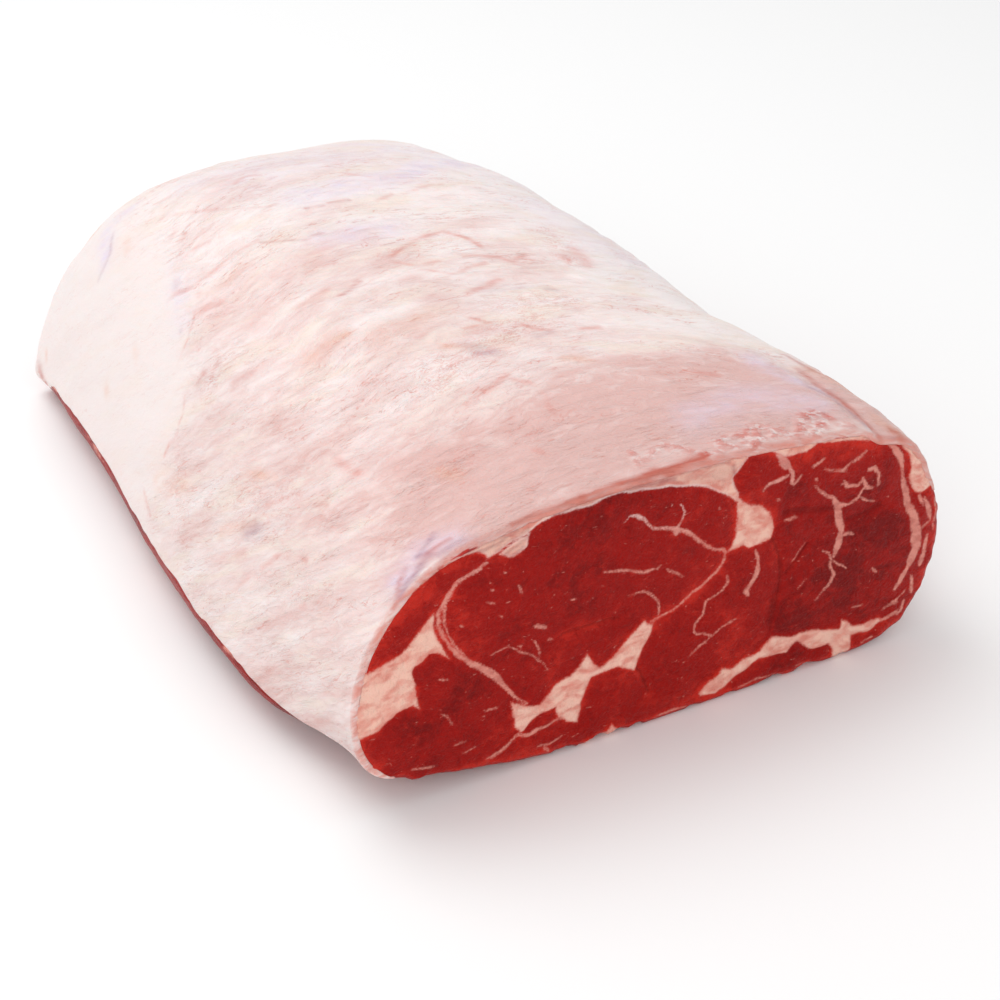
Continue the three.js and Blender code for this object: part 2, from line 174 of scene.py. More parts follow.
# Thin fat that parts one muscle from another: half width, then the points of its line.
BORDER_VEINS = [
    (0.75, [(-69, 88.5), (-75, 86.5), (-80, 84), (-84, 80), (-86.5, 75), (-87, 70), (-85.5, 65), (-83, 60),
     (-79, 55.5), (-75, 51), (-70, 46), (-66, 42), (-62, 36), (-58, 31), (-54, 27)]),
    (0.65, [(-17, 88), (-15, 90), (-12, 89), (-9, 87), (-6, 83), (0, 80.5), (4, 79), (8, 77), (12, 73.5),
     (16, 69), (20, 66.5), (24, 64.5), (25, 63)]),
    (0.55, [(25, 63), (23.5, 59), (21, 56), (17, 53.5), (12, 51), (8, 48), (4, 46), (-1, 45), (-5, 44)]),
]
# Thin fat in the muscles.
VEINS = [
    (0.45, [(-71, 87), (-77, 85.2), (-81.5, 82), (-84.3, 77.5), (-85, 71), (-83.8, 65), (-81.5, 60.5),
     (-78, 56)]),
    (1.1, [(-75, 51.5), (-70, 46.5), (-66, 42.5), (-62, 36.5), (-58, 31)]), (1.5, [(3, 79), (5, 78)]),
    (0.8, [(-13, 89.6), (-9.5, 87.5)]), (0.4, [(4, 80), (5.5, 82), (6.5, 86), (5, 89.5)]),
    (0.45, [(-25, 72), (-20, 71), (-15, 69.5), (-9, 67), (-4, 66), (-2, 67.5)]),
    (0.4, [(0, 65), (4, 62), (7, 59.5)]),
    (0.45, [(-15, 59), (-9, 58.5), (-5, 56), (-3, 53), (-2.5, 50), (-2, 46)]),
    (0.35, [(-61, 53.5), (-57, 50), (-52, 46.5), (-48, 42), (-46, 38.5)]),
    (0.35, [(-52, 53), (-50, 49), (-49.5, 46)]), (0.8, [(-52, 59), (-47, 56.5)]),
    (0.5, [(-46, 51), (-44, 50)]), (0.3, [(-68, 52), (-61, 54.5)]), (0.35, [(-70, 74), (-66, 72.5)]),
    (0.35, [(-58, 77), (-57, 73.5)]), (0.4, [(-68, 78.5), (-67, 78)]), (0.4, [(-63, 83.5), (-62, 83)]),
    (0.35, [(-65, 67), (-64, 66.5)]), (0.35, [(-79, 68), (-78, 67)]), (0.4, [(1, 90.5), (1.5, 90)]),
    (0.4, [(20, 83), (20.5, 82.5)]), (0.35, [(-38, 65), (-36, 64.5)]),
    # The muscle between the eye and the blade side.
    (0.45, [(26, 54), (26.5, 51), (24, 48.5), (20, 46.5), (17, 45.5), (16, 41), (13, 38), (12.5, 35),
     (14, 33.5), (17, 33), (20, 31), (24, 33), (30, 34)]),
    (0.4, [(20, 31), (17, 29), (13, 26.5), (11, 25)]),
    (1.1, [(37, 60), (38.5, 56), (38, 52), (36, 48), (34, 45), (35, 43)]),
    # Left flank.
    (0.35, [(-87, 35), (-85, 34), (-83.5, 29.5)]), (0.35, [(-88, 49.5), (-84, 48)]),
    (0.35, [(-71, 30.5), (-66, 30)]), (0.35, [(-82, 20), (-78, 20.5)]),
    (0.5, [(-98, 16), (-92, 14.5), (-90, 13.5)]), (0.4, [(-79, 15.5), (-74, 16.5)]),
    (0.4, [(-68, 9), (-64, 10.5)]), (0.45, [(-50, 7.5), (-45, 7), (-40, 8.5)]), (0.5, [(-47, 6), (-45, 3)]),
    (0.7, [(-58, 15), (-53, 13.5), (-48, 15), (-44, 16), (-39, 15)]),
    (0.5, [(-58, 15), (-64, 11), (-70, 9.5)]),
    # Blade side.
    (1.3, [(70, 72), (72, 69), (72.5, 63), (74, 58), (73, 53), (71, 48)]),
    (0.6, [(66, 52), (69, 50), (70, 47), (69.5, 44), (72, 40), (71, 37), (67, 34), (64, 31.5)]),
    (0.5, [(71, 46), (74, 43), (77, 40.5)]), (0.8, [(72, 69), (76, 68)]),
    (0.6, [(74, 55), (77, 55.5), (79, 54.5)]), (0.6, [(60, 80), (64, 76), (66, 74), (69, 73), (72, 69)]),
    (0.9, [(73, 78), (75, 76), (79, 75), (81, 77), (83, 73), (86, 71.5)]),
    (0.5, [(64, 86), (69, 83.5), (74, 82)]), (0.9, [(83, 80), (86, 80), (88, 77), (88.5, 72)]),
    (0.6, [(76, 68), (80, 69.5), (82, 74)]), (0.5, [(81, 69), (84, 67), (88, 65)]),
    (0.5, [(72, 83), (78, 86), (82, 88)]), (0.5, [(58, 88), (64, 90)]), (0.5, [(49, 69.5), (54, 69)]),
    (0.3, [(53, 50), (56, 54), (59, 57)]), (0.35, [(56, 38), (58, 40), (60, 41.5)]),
    (0.5, [(89, 37), (91, 35)]), (0.5, [(82, 22), (87, 21.5)]), (1.7, [(44, 99), (46, 95), (49, 91)]),
    (0.9, [(49, 91), (51, 88), (50.5, 84)]), (0.8, [(39, 84), (41, 86.5), (45, 87), (49, 88)]),
    (0.5, [(51, 83), (54, 86)]), (0.7, [(60, 83), (61, 82.5)]), (0.6, [(45, 79), (46, 78.5)]),
    # Right rim.
    (1.2, [(89, 91.5), (91.6, 89), (95, 84.5), (97.2, 82), (98.7, 77), (99.8, 71.5)]),
    (1.5, [(99.8, 71.5), (101.5, 66), (103, 58.5)]),
    (2.4, [(103, 59), (106.3, 54), (108.4, 47), (108.6, 40), (106, 33)]),
    (1.1, [(107.5, 36), (105, 31.5), (102.5, 27), (100.5, 24)]),
    (1.1, [(110.8, 60), (112.5, 55), (114.6, 50)]), (1.0, [(113.8, 44), (113.2, 37.3), (111.5, 31)]),
    (0.7, [(108, 62), (110, 57)]), (0.6, [(110, 47.5), (114.5, 49)]), (0.7, [(108, 28), (109, 20)]),
    (0.6, [(106, 18), (105, 13), (103, 12)]), (0.7, [(116, 58), (117.2, 51), (116.5, 45)]),
    (0.6, [(106, 22), (102, 18.5), (96, 16)]), (0.8, [(93, 11), (99, 11.5), (103, 14)]),
    (0.6, [(88, 4), (93, 5.5)]), (0.5, [(98, 17), (103, 18)]), (0.5, [(34, 3), (42, 4), (50, 3)]),
    (0.6, [(-2, 2), (6, 3), (12, 2)]), (0.4, [(59, 3.5), (64, 3.5)]),
]
# Dark lines where muscles part, sunk into the surface and darkened with painted shade: half width, then the
# points of the line.
CREASES = [
    (0.4, [(44, 63), (46, 60), (48, 54), (48.5, 48), (49, 41), (48, 35), (47, 28), (46, 24)]),
    (0.7, [(49, 72.5), (56, 71), (64, 69), (71, 68)]), (0.3, [(-10, 27), (-8, 24), (-6.5, 19), (-5, 14)]),
    (0.8, [(47, 36), (46.5, 31), (46, 27)]), (0.8, [(77, 61), (83, 61.5), (90, 63)]),
    (0.35, [(60, 56), (55, 50), (51, 46)]), (0.3, [(-40, 51), (-30, 51.5), (-18, 50.5)]),
]
# Folds of the film between the lean and the cap, whose brownish colour is partly the film's own and partly
# painted shade: half width, strength and line.
FOLDS = [
    (0.9, 0.7, [(-44, 99.5), (-38, 100.8), (-32, 101.6), (-24, 101.8), (-16, 101), (-8, 100.2), (2, 99.6)]),
    (0.6, 0.5, [(-30, 103), (-20, 103.2), (-8, 102.2), (4, 101.2), (15, 100.8), (24, 100)]),
    (2.4, 0.35, [(-36, 100.5), (-26, 101), (-16, 100.4), (-6, 99.6)]),
    (0.5, 0.4, [(8, 99), (16, 97), (22, 93.5)]),
    (0.7, 0.6, [(-88, 92.5), (-80, 95), (-72, 96.2), (-64, 97.6), (-56, 99.5), (-48, 101)]),
    (0.6, 0.6, [(-76, 93.5), (-70, 94), (-64, 95.4), (-58, 97.6)]),
    (0.7, 0.6, [(26, 98), (27.4, 92), (29, 88)]), (0.6, 0.4, [(-66, 92.5), (-60, 94.5), (-54, 97)]),
    (0.5, 0.5, [(-64, 88.5), (-59, 91), (-54, 94.5)]), (0.4, 0.5, [(-60, 87.5), (-56, 91.5)]),
    (3.5, 0.25, [(2, 99), (24, 96)]),
]
# How far the drawing of fat and muscles wanders from its points.
FACE_WANDER = 0.45
# Where a white film lies along the top of the eye, and how far it reaches. There the lean also loses its
# lighter borders and stays darker: painted shade.
FILM_AND_SHADE_X, FILM_AND_SHADE_Z, FILM_AND_SHADE_REACH_X, FILM_AND_SHADE_REACH_Z = -16.0, 98.0, 48.0, 14.0
# Lighter and darker places of the lean: X, Z, radius, and how much lighter.
TONE_SPOTS = [
    (84, 61, 9, -0.55), (95, 46, 10, -0.3), (51, 29, 7, -0.6), (78, 36, 12, -0.25), (70, 85, 12, 0.15),
    (-60, 45, 20, -0.15), (-80, 92, 7, 0.6), (-97, 80, 7, 0.3), (0, 65, 30, -0.02), (30, 20, 14, 0.25),
    (14, 2, 6, 0.8), (113, 40, 5, 0.6), (104, 15, 8, 0.4), (100, 77, 5, 0.9), (12, 56, 5, 0.4),
    (50, 95, 8, 0.5), (75, 92, 10, 0.5), (-95, 20, 18, -0.5), (-30, 5, 20, -0.1), (112, 52, 8, 0.6),
    (-25, 20, 10, -0.4), (56, 6, 9, -0.5), (72, 25, 10, -0.3), (-84, 40, 14, -0.35), (-35, 88, 30, -0.45),
    (-5, 92, 20, -0.3), (88, 88, 10, 0.5), (60, 95, 10, 0.4), (96, 70, 8, 0.3),
]

# Marks on the cap, by kind: half width, strength, and a line in X and Y, or in X, Y and Z.
MARKS = {
    "salmon": [
        (1.2, 0.35, [(-79, 82), (-69, 75), (-61, 68), (-49, 56), (-42, 54)]),
        (1.0, 0.5, [(-82, 66), (-78, 69)]), (1.0, 0.5, [(-79, 60), (-76, 63)]),
        (1.0, 0.35, [(-84, 48), (-79, 49), (-73, 46)]),
        (1.2, 0.5, [(-93, 37), (-88, 28), (-82, 27), (-78, 28), (-70, 30), (-58, 31)]),
        (1.0, 0.5, [(-46, 85), (-39, 89), (-34, 86)]),
        (0.9, 0.5, [(-93, 35, 104), (-97, 27, 99), (-99, 19, 97)]),
        (0.9, 0.7, [(-88, 22, 108), (-93, 15, 104), (-97, 11, 99), (-102, 9, 93), (-105, 9, 86)]),
        (0.9, 0.6, [(-108, -8, 82), (-111, -11, 75), (-113, -9, 68), (-116, -3, 57)]),
        (1.0, 0.6, [(-5, 40), (4, 42)]), (1.0, 0.5, [(8, 41), (19, 45), (28, 46)]),
        (1.0, 0.4, [(-7, 72), (4, 59)]),
        (1.3, 0.8, [(-22, -10), (-15, -4), (-5, 2), (6, 4), (11, -3), (13, -14)]),
        (1.0, 0.45, [(-25, -12), (-18, -21), (-8, -20)]),
        (1.0, 0.55, [(-18, -24), (-8, -32), (2, -29), (8, -28)]),
        (1.1, 0.65, [(2, -19), (13, -24), (19, -30), (27, -26)]),
        (1.8, 0.7, [(-10, -48), (-3, -45), (6, -42)]), (1.0, 0.65, [(-25, -72), (-15, -73), (-20, -66)]),
        (1.3, 0.85, [(-6, -78), (-3, -83), (2, -87)]), (1.5, 0.8, [(13, -90), (18, -92)]),
        (3.5, 0.5, [(40, -32), (49, -25), (47, -37)]), (1.2, 0.75, [(-39, -111), (-27, -107)]),
        (2.2, 0.45, [(-68, -26), (-55, -21)]), (1.2, 0.5, [(-42, -70), (-35, -66)]),
        (1.2, 0.5, [(-110, -85, 78), (-104, -100, 88), (-99, -114, 95)]),
        (1.2, 0.8, [(-105, -102, 86), (-103, -110, 89), (-101, -117, 92), (-104, -115, 87)]),
        (1.2, 0.65, [(-117, -93, 58), (-113, -103, 68), (-111, -121, 76)]),
        (2.2, 0.4, [(-122, -57, 42), (-117, -80, 58)]), (1.2, 0.45, [(-121, -80, 43), (-119, -87, 52)]),
        (1.0, 0.5, [(-47, -113), (-39, -112), (-29, -109), (-22, -115)]),
        (1.2, 0.5, [(-120, 12, 34), (-122, 2, 30)]), (1.6, 0.5, [(-93, -107), (-90, -119)]),
        (1.2, 0.6, [(33, -131), (41, -136)]), (1.0, 0.5, [(-38, -145), (-36, -149)]),
        (1.4, 0.4, [(-22, -124), (-24, -134)]), (6.0, 0.4, [(-89, 12), (-88, 2)]),
        (5.0, 0.35, [(-79, 14), (-70, 18)]), (6.0, 0.3, [(-60, 5), (-40, 8)]),
        (5.0, 0.3, [(-82, -20), (-70, -12)]),
    ],
    "crumb": [
        (1.5, 0.9, [(22, -164), (27, -162), (33, -162), (40, -160)]), (1.7, 1.0, [(32, -165), (36, -161)]),
        (1.6, 1.0, [(38, -164), (41, -160), (45, -161)]), (1.6, 1.0, [(34, -168), (39, -166)]),
        (1.5, 0.9, [(43, -166), (46, -163)]), (1.7, 1.0, [(55, -166), (58, -163)]),
        (1.6, 1.0, [(60, -161), (65, -160)]), (1.8, 1.0, [(61, -166), (66, -165)]),
        (1.5, 0.9, [(58, -168), (62, -168)]), (1.4, 0.9, [(68, -162), (70, -164)]),
        (1.5, 0.9, [(48, -165), (50, -168), (54, -167)]), (1.5, 0.8, [(20, -168), (24, -165), (28, -167)]),
        (1.5, 0.7, [(4, -158), (8, -161), (11, -164)]), (1.5, 0.7, [(-8, -158), (-8, -163), (0, -160)]),
        (1.5, 0.8, [(72, -167), (77, -168)]), (1.4, 0.6, [(14, -166), (17, -168)]),
    ],
    "scaly": [
        (11, 0.9, [(-50, -94), (-30, -89), (0, -77)]), (9, 0.8, [(-4, -62), (10, -64), (18, -68)]),
        (8, 0.8, [(42, -32), (47, -8)]), (7, 0.9, [(-99, -22, 99), (-103, -22, 92)]),
        (8, 0.7, [(-113, -70, 74), (-106, -97, 85)]), (8, 0.6, [(-117, -20, 60), (-122, -29, 40)]),
        (6, 0.7, [(-66, -139), (-60, -136)]), (8, 0.5, [(-20, -10), (10, 0)]),
    ],
    "dark_red": [
        (0.8, 0.6, [(-33, 44), (-26, 43)]), (0.8, 0.45, [(-23, 44), (-14, 43)]),
        (0.9, 0.45, [(-58, 28), (-48, 23), (-43, 21), (-36, 21)]),
        (1.1, 0.6, [(-52, -27), (-44, -23), (-42, -22)]), (1.8, 0.6, [(-104, -14, 91), (-102, -15, 94)]),
        (2.2, 0.5, [(-100, -37, 99), (-94, -41, 104)]), (1.2, 0.5, [(-99, -20, 99), (-98, -21, 99)]),
        (1.0, 0.4, [(-80, -7), (-79, -7)]), (3.0, 1.0, [(-111, 163, 14), (-111, 157, 9)]),
    ],
    "purple": [
        (2.2, 0.8, [(-91, 45, 106), (-92, 39, 105)]), (1.5, 0.7, [(-99, 19, 97), (-99, 18, 96)]),
        (1.6, 0.6, [(19, -56), (21, -57)]), (3.2, 0.6, [(-30, -84), (-27, -91), (-25, -91)]),
        (3.2, 0.6, [(-115, -80, 65), (-113, -84, 68)]), (1.6, 0.45, [(-5, -90), (2, -88)]),
        (1.6, 0.9, [(88, -170, 94), (91, -170, 92.5), (94, -170, 90.5)]),
        (1.2, 0.7, [(72, -146), (80, -149), (82, -156), (83, -163), (83, -168)]),
        (1.3, 1.0, [(-101, -168, 85), (-94, -167, 91), (-88, -165, 95)]),
        (1.0, 0.9, [(-91, -163, 94), (-86, -160, 97), (-83, -158, 98)]),
        (1.2, 0.8, [(-86, -167, 95), (-79, -167, 97), (-73, -168, 98)]),
        (1.2, 0.4, [(-90, 110, 98), (-95, 100, 92), (-100, 102, 81)]), (5.0, 0.3, [(-3, -45), (8, -50)]),
    ],
    "lilac": [
        (9, 0.8, [(-28, 55), (6, 57), (49, 73)]), (8, 0.6, [(-36, 16), (-12, 13)]),
        (9, 0.4, [(20, 120), (50, 110)]), (26, 0.4, [(-30, 95), (30, 100), (70, 75)]),
        (22, 0.35, [(60, 20), (70, -20)]), (10, 0.3, [(-60, 95), (-30, 110)]),
        (6, 0.9, [(-91, 117, 94), (-96, 105, 90)]), (4, 0.7, [(-87, 117, 99), (-81, 113, 105)]),
        (7, 0.4, [(-89, 46, 107), (-97, 22, 99)]), (5, 0.8, [(60, -130), (67, -140), (76, -147)]),
        (7, 0.5, [(20, -150), (45, -148), (70, -155)]),
        (5, 0.8, [(-98, -164, 88), (-88, -162, 95), (-78, -164, 98)]),
    ],
    "peach": [
        (3.0, 0.4, [(-107, 50, 75), (-107, 48, 74)]), (3.0, 0.4, [(-112, 70, 50), (-112, 71, 48)]),
        (1.6, 0.7, [(-109, 158, 25), (-109, 157, 22)]), (3.0, 0.4, [(-92, 91, 100), (-92, 88, 99)]),
        (2.4, 0.9, [(-87, 152, 77), (-87, 137, 88)]), (1.6, 0.7, [(-110, -67, 81), (-106, -83, 87)]),
        (2.2, 0.6, [(-118, -63, 57), (-117, -69, 61), (-114, -82, 69)]),
        (2.5, 0.6, [(-37, -81), (-30, -84)]), (4.0, 0.6, [(-77, -55), (-63, -53)]),
        (2.2, 0.5, [(-5, -108), (2, -113)]), (3.0, 0.5, [(-69, -137), (-66, -141)]),
        (5.0, 0.4, [(-119, -1, 46), (-117, -29, 57)]),
        (4.0, 0.7, [(84, -133, 103), (90, -139, 98), (97, -146, 93)]),
        (3.0, 0.7, [(92, -160, 92), (97, -168, 89)]), (8.0, 0.35, [(-52, -60), (-30, -58)]),
        (5.0, 0.4, [(97, -150, 86), (104, -160, 78)]),
    ],
    "rust": [
        (1.1, 0.7, [(-50, -169.6), (-34, -169.6)]),
        (1.2, 1.1, [(-34, -169.6), (-20, -169.2), (-8, -168.8)]),
        (1.3, 1.6, [(-8, -168.8), (4, -168.2), (16, -167.4)]),
        (1.3, 0.8, [(77, -133), (79, -140), (81, -146), (84, -152), (85, -159), (86, -166), (88, -170)]),
        (1.2, 0.7, [(84, -133, 103), (90, -138, 98), (97, -145, 93)]),
        (2.0, 0.9, [(95, -166, 91), (98, -170, 88)]), (1.5, 0.6, [(79, -125, 105), (84, -133, 103)]),
        (0.9, 0.7, [(-103, -169, 82), (-99, -165, 87), (-95, -162, 92)]),
        (0.9, 0.7, [(-92, -166, 93.5), (-86, -164, 96.5), (-80, -164, 98)]),
        (1.6, 0.5, [(40, -162), (42, -163)]),
        (1.0, 0.7, [(-60, -169, 100), (-50, -169, 101.5), (-40, -169.4, 102.6)]),
    ],
    "blood": [
        (2.1, 1.0, [(-86, -170.5, 92.5), (-80, -170.5, 94.8), (-74, -170.5, 96.3)]),
        (1.3, 0.9, [(54, -170.5, 98.5), (62, -170.5, 97.5), (72, -170.5, 95.5), (82, -170.5, 92.5)]),
    ],
    # White spots on the cap and white lines along its rolled near edge: painted highlights.
    "painted_highlight": [
        (3.0, 0.6, [(-91, -124), (-87, -137)]), (2.4, 0.5, [(-64, -124), (-59, -126)]),
        (2.4, 0.5, [(-49, -134), (-46, -136)]), (3.0, 0.4, [(-84, -131), (-80, -136)]),
        (3.0, 0.4, [(-6, -160), (6, -161)]),
        (0.9, 1.0, [(-98, -169, 86.5), (-92, -168, 91.5), (-87, -168, 95)]),
        (1.8, 0.8, [(57, -168), (63, -169)]),
        (3.0, 0.9, [(64, -169, 101), (76, -169, 97.5), (83, -169, 95)]),
    ],
}
# Where the smooth wall of the cap begins along the roast, at rising heights: Z and Y. Then how far before
# that it sets in and over what length, and where across the roast.
WALL_EDGE = [(0, -20), (30, -2), (80, -6), (86, -2), (97, 17), (104, 36), (110, 70)]
WALL_BEFORE, WALL_REACH, WALL_X, WALL_REACH_X = 14.0, 32.0, -74.0, 20.0
# By what shares the wall has less fine relief and less pink than the rest.
WALL_CALM, WALL_PALE = 0.65, 0.35


def smooth(value):
    t = np.clip(value, 0.0, 1.0)
    return t * t * (3 - 2 * t)


def lattice(i, j, k):
    """A repeatable value between 0 and 1 for each cell of a cubic lattice."""
    low = 0xFFFFFFFF
    h = ((i * 374761393) ^ (j * 668265263) ^ (k * 1274126177)) & low
    h = ((h ^ (h >> 13)) * 1274126177) & low
    return (h ^ (h >> 16)) / 2.0**32


def noise(x, y, z):
    """Smooth noise between -1 and 1 that varies over a distance of one."""
    x, y, z = np.broadcast_arrays(x, y, z)
    i, j, k = (np.floor(v).astype(np.int64) for v in (x, y, z))
    u, v, w = smooth(x - i), smooth(y - j), smooth(z - k)
    total = np.zeros(x.shape)
    for corner in range(8):
        a, b, c = corner & 1, (corner >> 1) & 1, corner >> 2
        weight = (u if a else 1 - u) * (v if b else 1 - v) * (w if c else 1 - w)
        total += weight * lattice(i + a, j + b, k + c)
    return 2 * total - 1


def layered_noise(x, y, z, octaves):
    total, share = np.zeros(np.broadcast(x, y, z).shape), 1.0
    for octave in range(octaves):
        scale = 2.0**octave
        total += share * noise(x * scale + 17 * octave, y * scale, z * scale - 9 * octave)
        share *= 0.5
    return total


def cubic(t, start, leaving, end, arriving):
    """The cubic from start to end over t from 0 to 1, with its slopes at both."""
    near = (2 * t**3 - 3 * t**2 + 1) * start + (t**3 - 2 * t**2 + t) * leaving
    return near + (3 * t**2 - 2 * t**3) * end + (t**3 - t**2) * arriving


def closed_curve(points, turn):
    """Points of a closed centripetal Catmull-Rom curve at shares of the way round it."""
    points = np.asarray(points, float)
    count = len(points)
    at = (turn % 1.0) * count
    first = np.floor(at).astype(int)
    t = (at - first)[..., None]
    p0, p1, p2, p3 = (points[(first + step) % count] for step in (-1, 0, 1, 2))
    gaps = [(p0, p1), (p1, p2), (p2, p3)]
    d0, d1, d2 = (np.linalg.norm(b - a, axis=-1, keepdims=True) ** 0.5 for a, b in gaps)
    m1 = ((p1 - p0) / d0 - (p2 - p0) / (d0 + d1) + (p2 - p1) / d1) * d1
    m2 = ((p2 - p1) / d1 - (p3 - p1) / (d1 + d2) + (p3 - p2) / d2) * d1
    return cubic(t, p1, m1, p2, m2)


def profile(y, kind):
    """One column of the profile at y, on a smooth curve through its stations."""
    knots, values = PROFILE[:, 0], PROFILE[:, kind]
    y = np.clip(y, knots[0], knots[-1])
    i = np.clip(np.searchsorted(knots, y, side="right") - 1, 0, len(knots) - 2)
    before = np.maximum(np.arange(len(knots)) - 1, 0)
    after = np.minimum(np.arange(len(knots)) + 1, len(knots) - 1)
    slopes = (values[after] - values[before]) / (knots[after] - knots[before])
    span = knots[i + 1] - knots[i]
    t = (y - knots[i]) / span
    return cubic(t, values[i], span * slopes[i], values[i + 1], span * slopes[i + 1])


def place(x, z, y):
    """Where a point drawn in the near face lies in the cross-section at y."""
    reach = np.where(x < 0, profile(y, LEFT), profile(y, RIGHT))
    drop = 1 - profile(y, SLOPE) * x / SLOPE_REACH
    return x * reach, np.maximum(z * profile(y, HEIGHT) * drop, 0)


def unplace(x, z, y):
    """The point of the near face's drawing that lies at x and z in the cross-section at y."""
    drawn = x / np.where(x < 0, profile(y, LEFT), profile(y, RIGHT))
    return drawn, z / (profile(y, HEIGHT) * (1 - profile(y, SLOPE) * drawn / SLOPE_REACH))


def outline(turn, y):
    turn, y = np.broadcast_arrays(np.asarray(turn, float), np.asarray(y, float))
    blend = smooth((y + HALF) / BLEND_LENGTH)[..., None]
    near, far = closed_curve(LANDMARKS[:, 0:2], turn), closed_curve(LANDMARKS[:, 2:4], turn)
    drawn = near + (far - near) * blend
    return np.stack(place(drawn[..., 0], drawn[..., 1], y), -1)


def outward(turn, y):
    """The outward direction of the outline, within the cross-section."""
    step = 0.25 / 60
    along = outline(turn + step, y) - outline(turn - step, y)
    normal = np.stack([along[..., 1], -along[..., 0]], -1)
    return normal / np.linalg.norm(normal, axis=-1, keepdims=True)


def to_metres(x, y, z):
    return np.stack([(x - MIDDLE_X) * MM, y * MM, z * MM], -1)


def flow(x, y):
    """A coordinate that stays the same along the cap's streaks."""
    return y - FLOW_SLOPE * x - 0.5 * FLOW_BEND * x**2


def streak_flow(x, y, z):
    """The same for the fine streaks, which slant on the flank."""
    return flow(x, y) + FLANK_FLOW_SLOPE * np.minimum(z - FLANK_FLOW_Z, 0)


def in_bell(away):
    return np.exp(-away**2)


def cap_edges(y):
    """The shares of the way round at which the cap starts and ends, at y."""
    wander = EDGE_WANDER * noise(y / 16, 3.0, 8.0) + EDGE_RAGGED * noise(y / 5, 30.0, 8.0)
    pulled_up = EDGE_PULL * smooth((y + HALF - 20) / 60) * smooth((HALF - y) / 30)
    return CAP_START - 0.002 + wander, CAP_END - pulled_up + wander


def tip_fade(turn, y, reach):
    """0 at both edges of the cap and 1 further in than reach, a share of the way round."""
    start, end = cap_edges(y)
    return smooth((turn - start) / reach) * smooth((end - turn) / reach)


def cap_relief(x, y, z, turn):
    """How far the cap stands out of the smooth outline, as its solid does."""
    rise = LUMP_RISE * noise(x / LUMP_SIZE, y / LUMP_SIZE, z / LUMP_SIZE)
    rise += FOLD_RISE * noise(x / FOLD_ALONG, flow(x, y) / FOLD_ACROSS, z / FOLD_ALONG)
    for dent_x, dent_y, dent_z, radius, depth in DENTS:
        away = np.sqrt((x - dent_x) ** 2 + (y - dent_y) ** 2 + (z - dent_z) ** 2) / radius
        rise -= depth * in_bell(away)
    behind = y + HALF
    from_crease = (x - (CREASE_X - CREASE_LEAN * behind)) / CREASE_HALF_WIDTH
    rise -= CREASE_DEPTH * in_bell(from_crease) * smooth(1 - behind / CREASE_LENGTH)
    return rise * tip_fade(turn, y, 3 / 60)


def fine_cap_relief(x, y, z):
    """Streaks, wrinkles and feathery marks that are too fine for the solid."""
    across = streak_flow(x, y, z) + 3 * noise(x / 24, y / 24, z / 24) + 1.2 * noise(x / 9, y / 9, z / 9)
    streaks = STREAK_RISE * layered_noise(x / 15, across / 4.6, z / 14, 2)
    ridges = 1 - np.abs(noise(x / 26, across / 8, z / 22))
    rough = ROUGH_RISE * layered_noise(x / 7, y / 5, z / 7, 2)
    calm = 0.25 + 0.75 * smooth(0.5 + 1.5 * noise(x / 45 + 7, y / 45, z / 45))
    broad = 1 - np.abs(noise(x / 55, across / 15, z / 45))
    ridged = RIDGE_RISE * (ridges**4 - 0.35) + BROAD_RISE * (broad**3 - 0.4)
    scales = SCALE_RISE * strokes(x, y, z, MARKS["scaly"]) * layered_noise(x / 5, across / 2.6, z / 5, 2)
    at_edge = smooth((EDGE_Y - y) / EDGE_REACH_Y) * smooth((x - EDGE_X) / EDGE_REACH_X)
    edge = EDGE_RISE * layered_noise(x / 4, y / 3.2, z / 4, 2) * at_edge
    crumbs = CRUMB_RISE * strokes(x, y, z, MARKS["crumb"])
    return calm * (streaks + ridged + rough) + scales + edge + crumbs


def cap_thickness(turn, y):
    return CAP_TIP_THICK + (CAP_THICK - CAP_TIP_THICK) * tip_fade(turn, y, 1.2 / 60)


def even_turns(start, end, y, spacing):
    """Shares of the way round, from start to end, a spacing apart along the cross-section at y."""
    fine = np.linspace(start, end, 2000)
    points = outline(fine, y)
    steps = np.linalg.norm(np.diff(points, axis=0), axis=1)
    length = np.concatenate([[0], np.cumsum(steps)])
    count = max(int(round(length[-1] / spacing)), 2)
    return np.interp(np.linspace(0, length[-1], count + 1), length, fine)


def cap_loop():
    """The cap's way along the roast and back underneath: Y, the share of its thickness that the point
    lies below its outer surface, and 1 on a cut edge."""
    roll = [(CAP_ROLL * (1 - math.cos(a)), CAP_ROLL_SHARE * (1 - math.sin(a)), math.cos(a))
            for a in np.linspace(0, math.pi / 2, 7)]
    near = [(0, share, 1) for share in np.linspace(1, CAP_ROLL_SHARE, 3)[:-1]] + roll
    reach = HALF - CAP_END_BACK
    inner = reach - CAP_ROLL
    rows = [(-reach + into, share, cut) for into, share, cut in near]
    rows += [(y, 0, 0) for y in np.linspace(-inner, inner, int(2 * inner / CAP_SPACING_Y))[1:-1]]
    rows += [(reach - into, share, cut) for into, share, cut in near[::-1]]
    outer_count = len(rows)
    rows += [(y, 1, 0) for y in np.linspace(reach, -reach, CAP_INNER_ROWS + 2)[1:-1]]
    return np.array(rows, float), outer_count


def line_distance(here, points):
    """Distance from each place to a line of points, and the share of the way along it. The places are
    given as one array a coordinate, and where the points have fewer coordinates, the last are ignored."""
    points = np.asarray(points, float)
    best, share = np.full(here[0].shape, 1e9), np.zeros(here[0].shape)
    spans = len(points) - 1
    for k in range(spans):
        along = points[k + 1] - points[k]
        offset = [value - first for value, first in zip(here, points[k])]
        t = sum(part * step for part, step in zip(offset, along)) / (along @ along + 1e-9)
        t = np.clip(t, 0, 1)
        away = np.sqrt(sum((part - t * step) ** 2 for part, step in zip(offset, along)))
        closer = away < best
        best = np.where(closer, away, best)
        share = np.where(closer, (k + t) / spans, share)
    return best, share


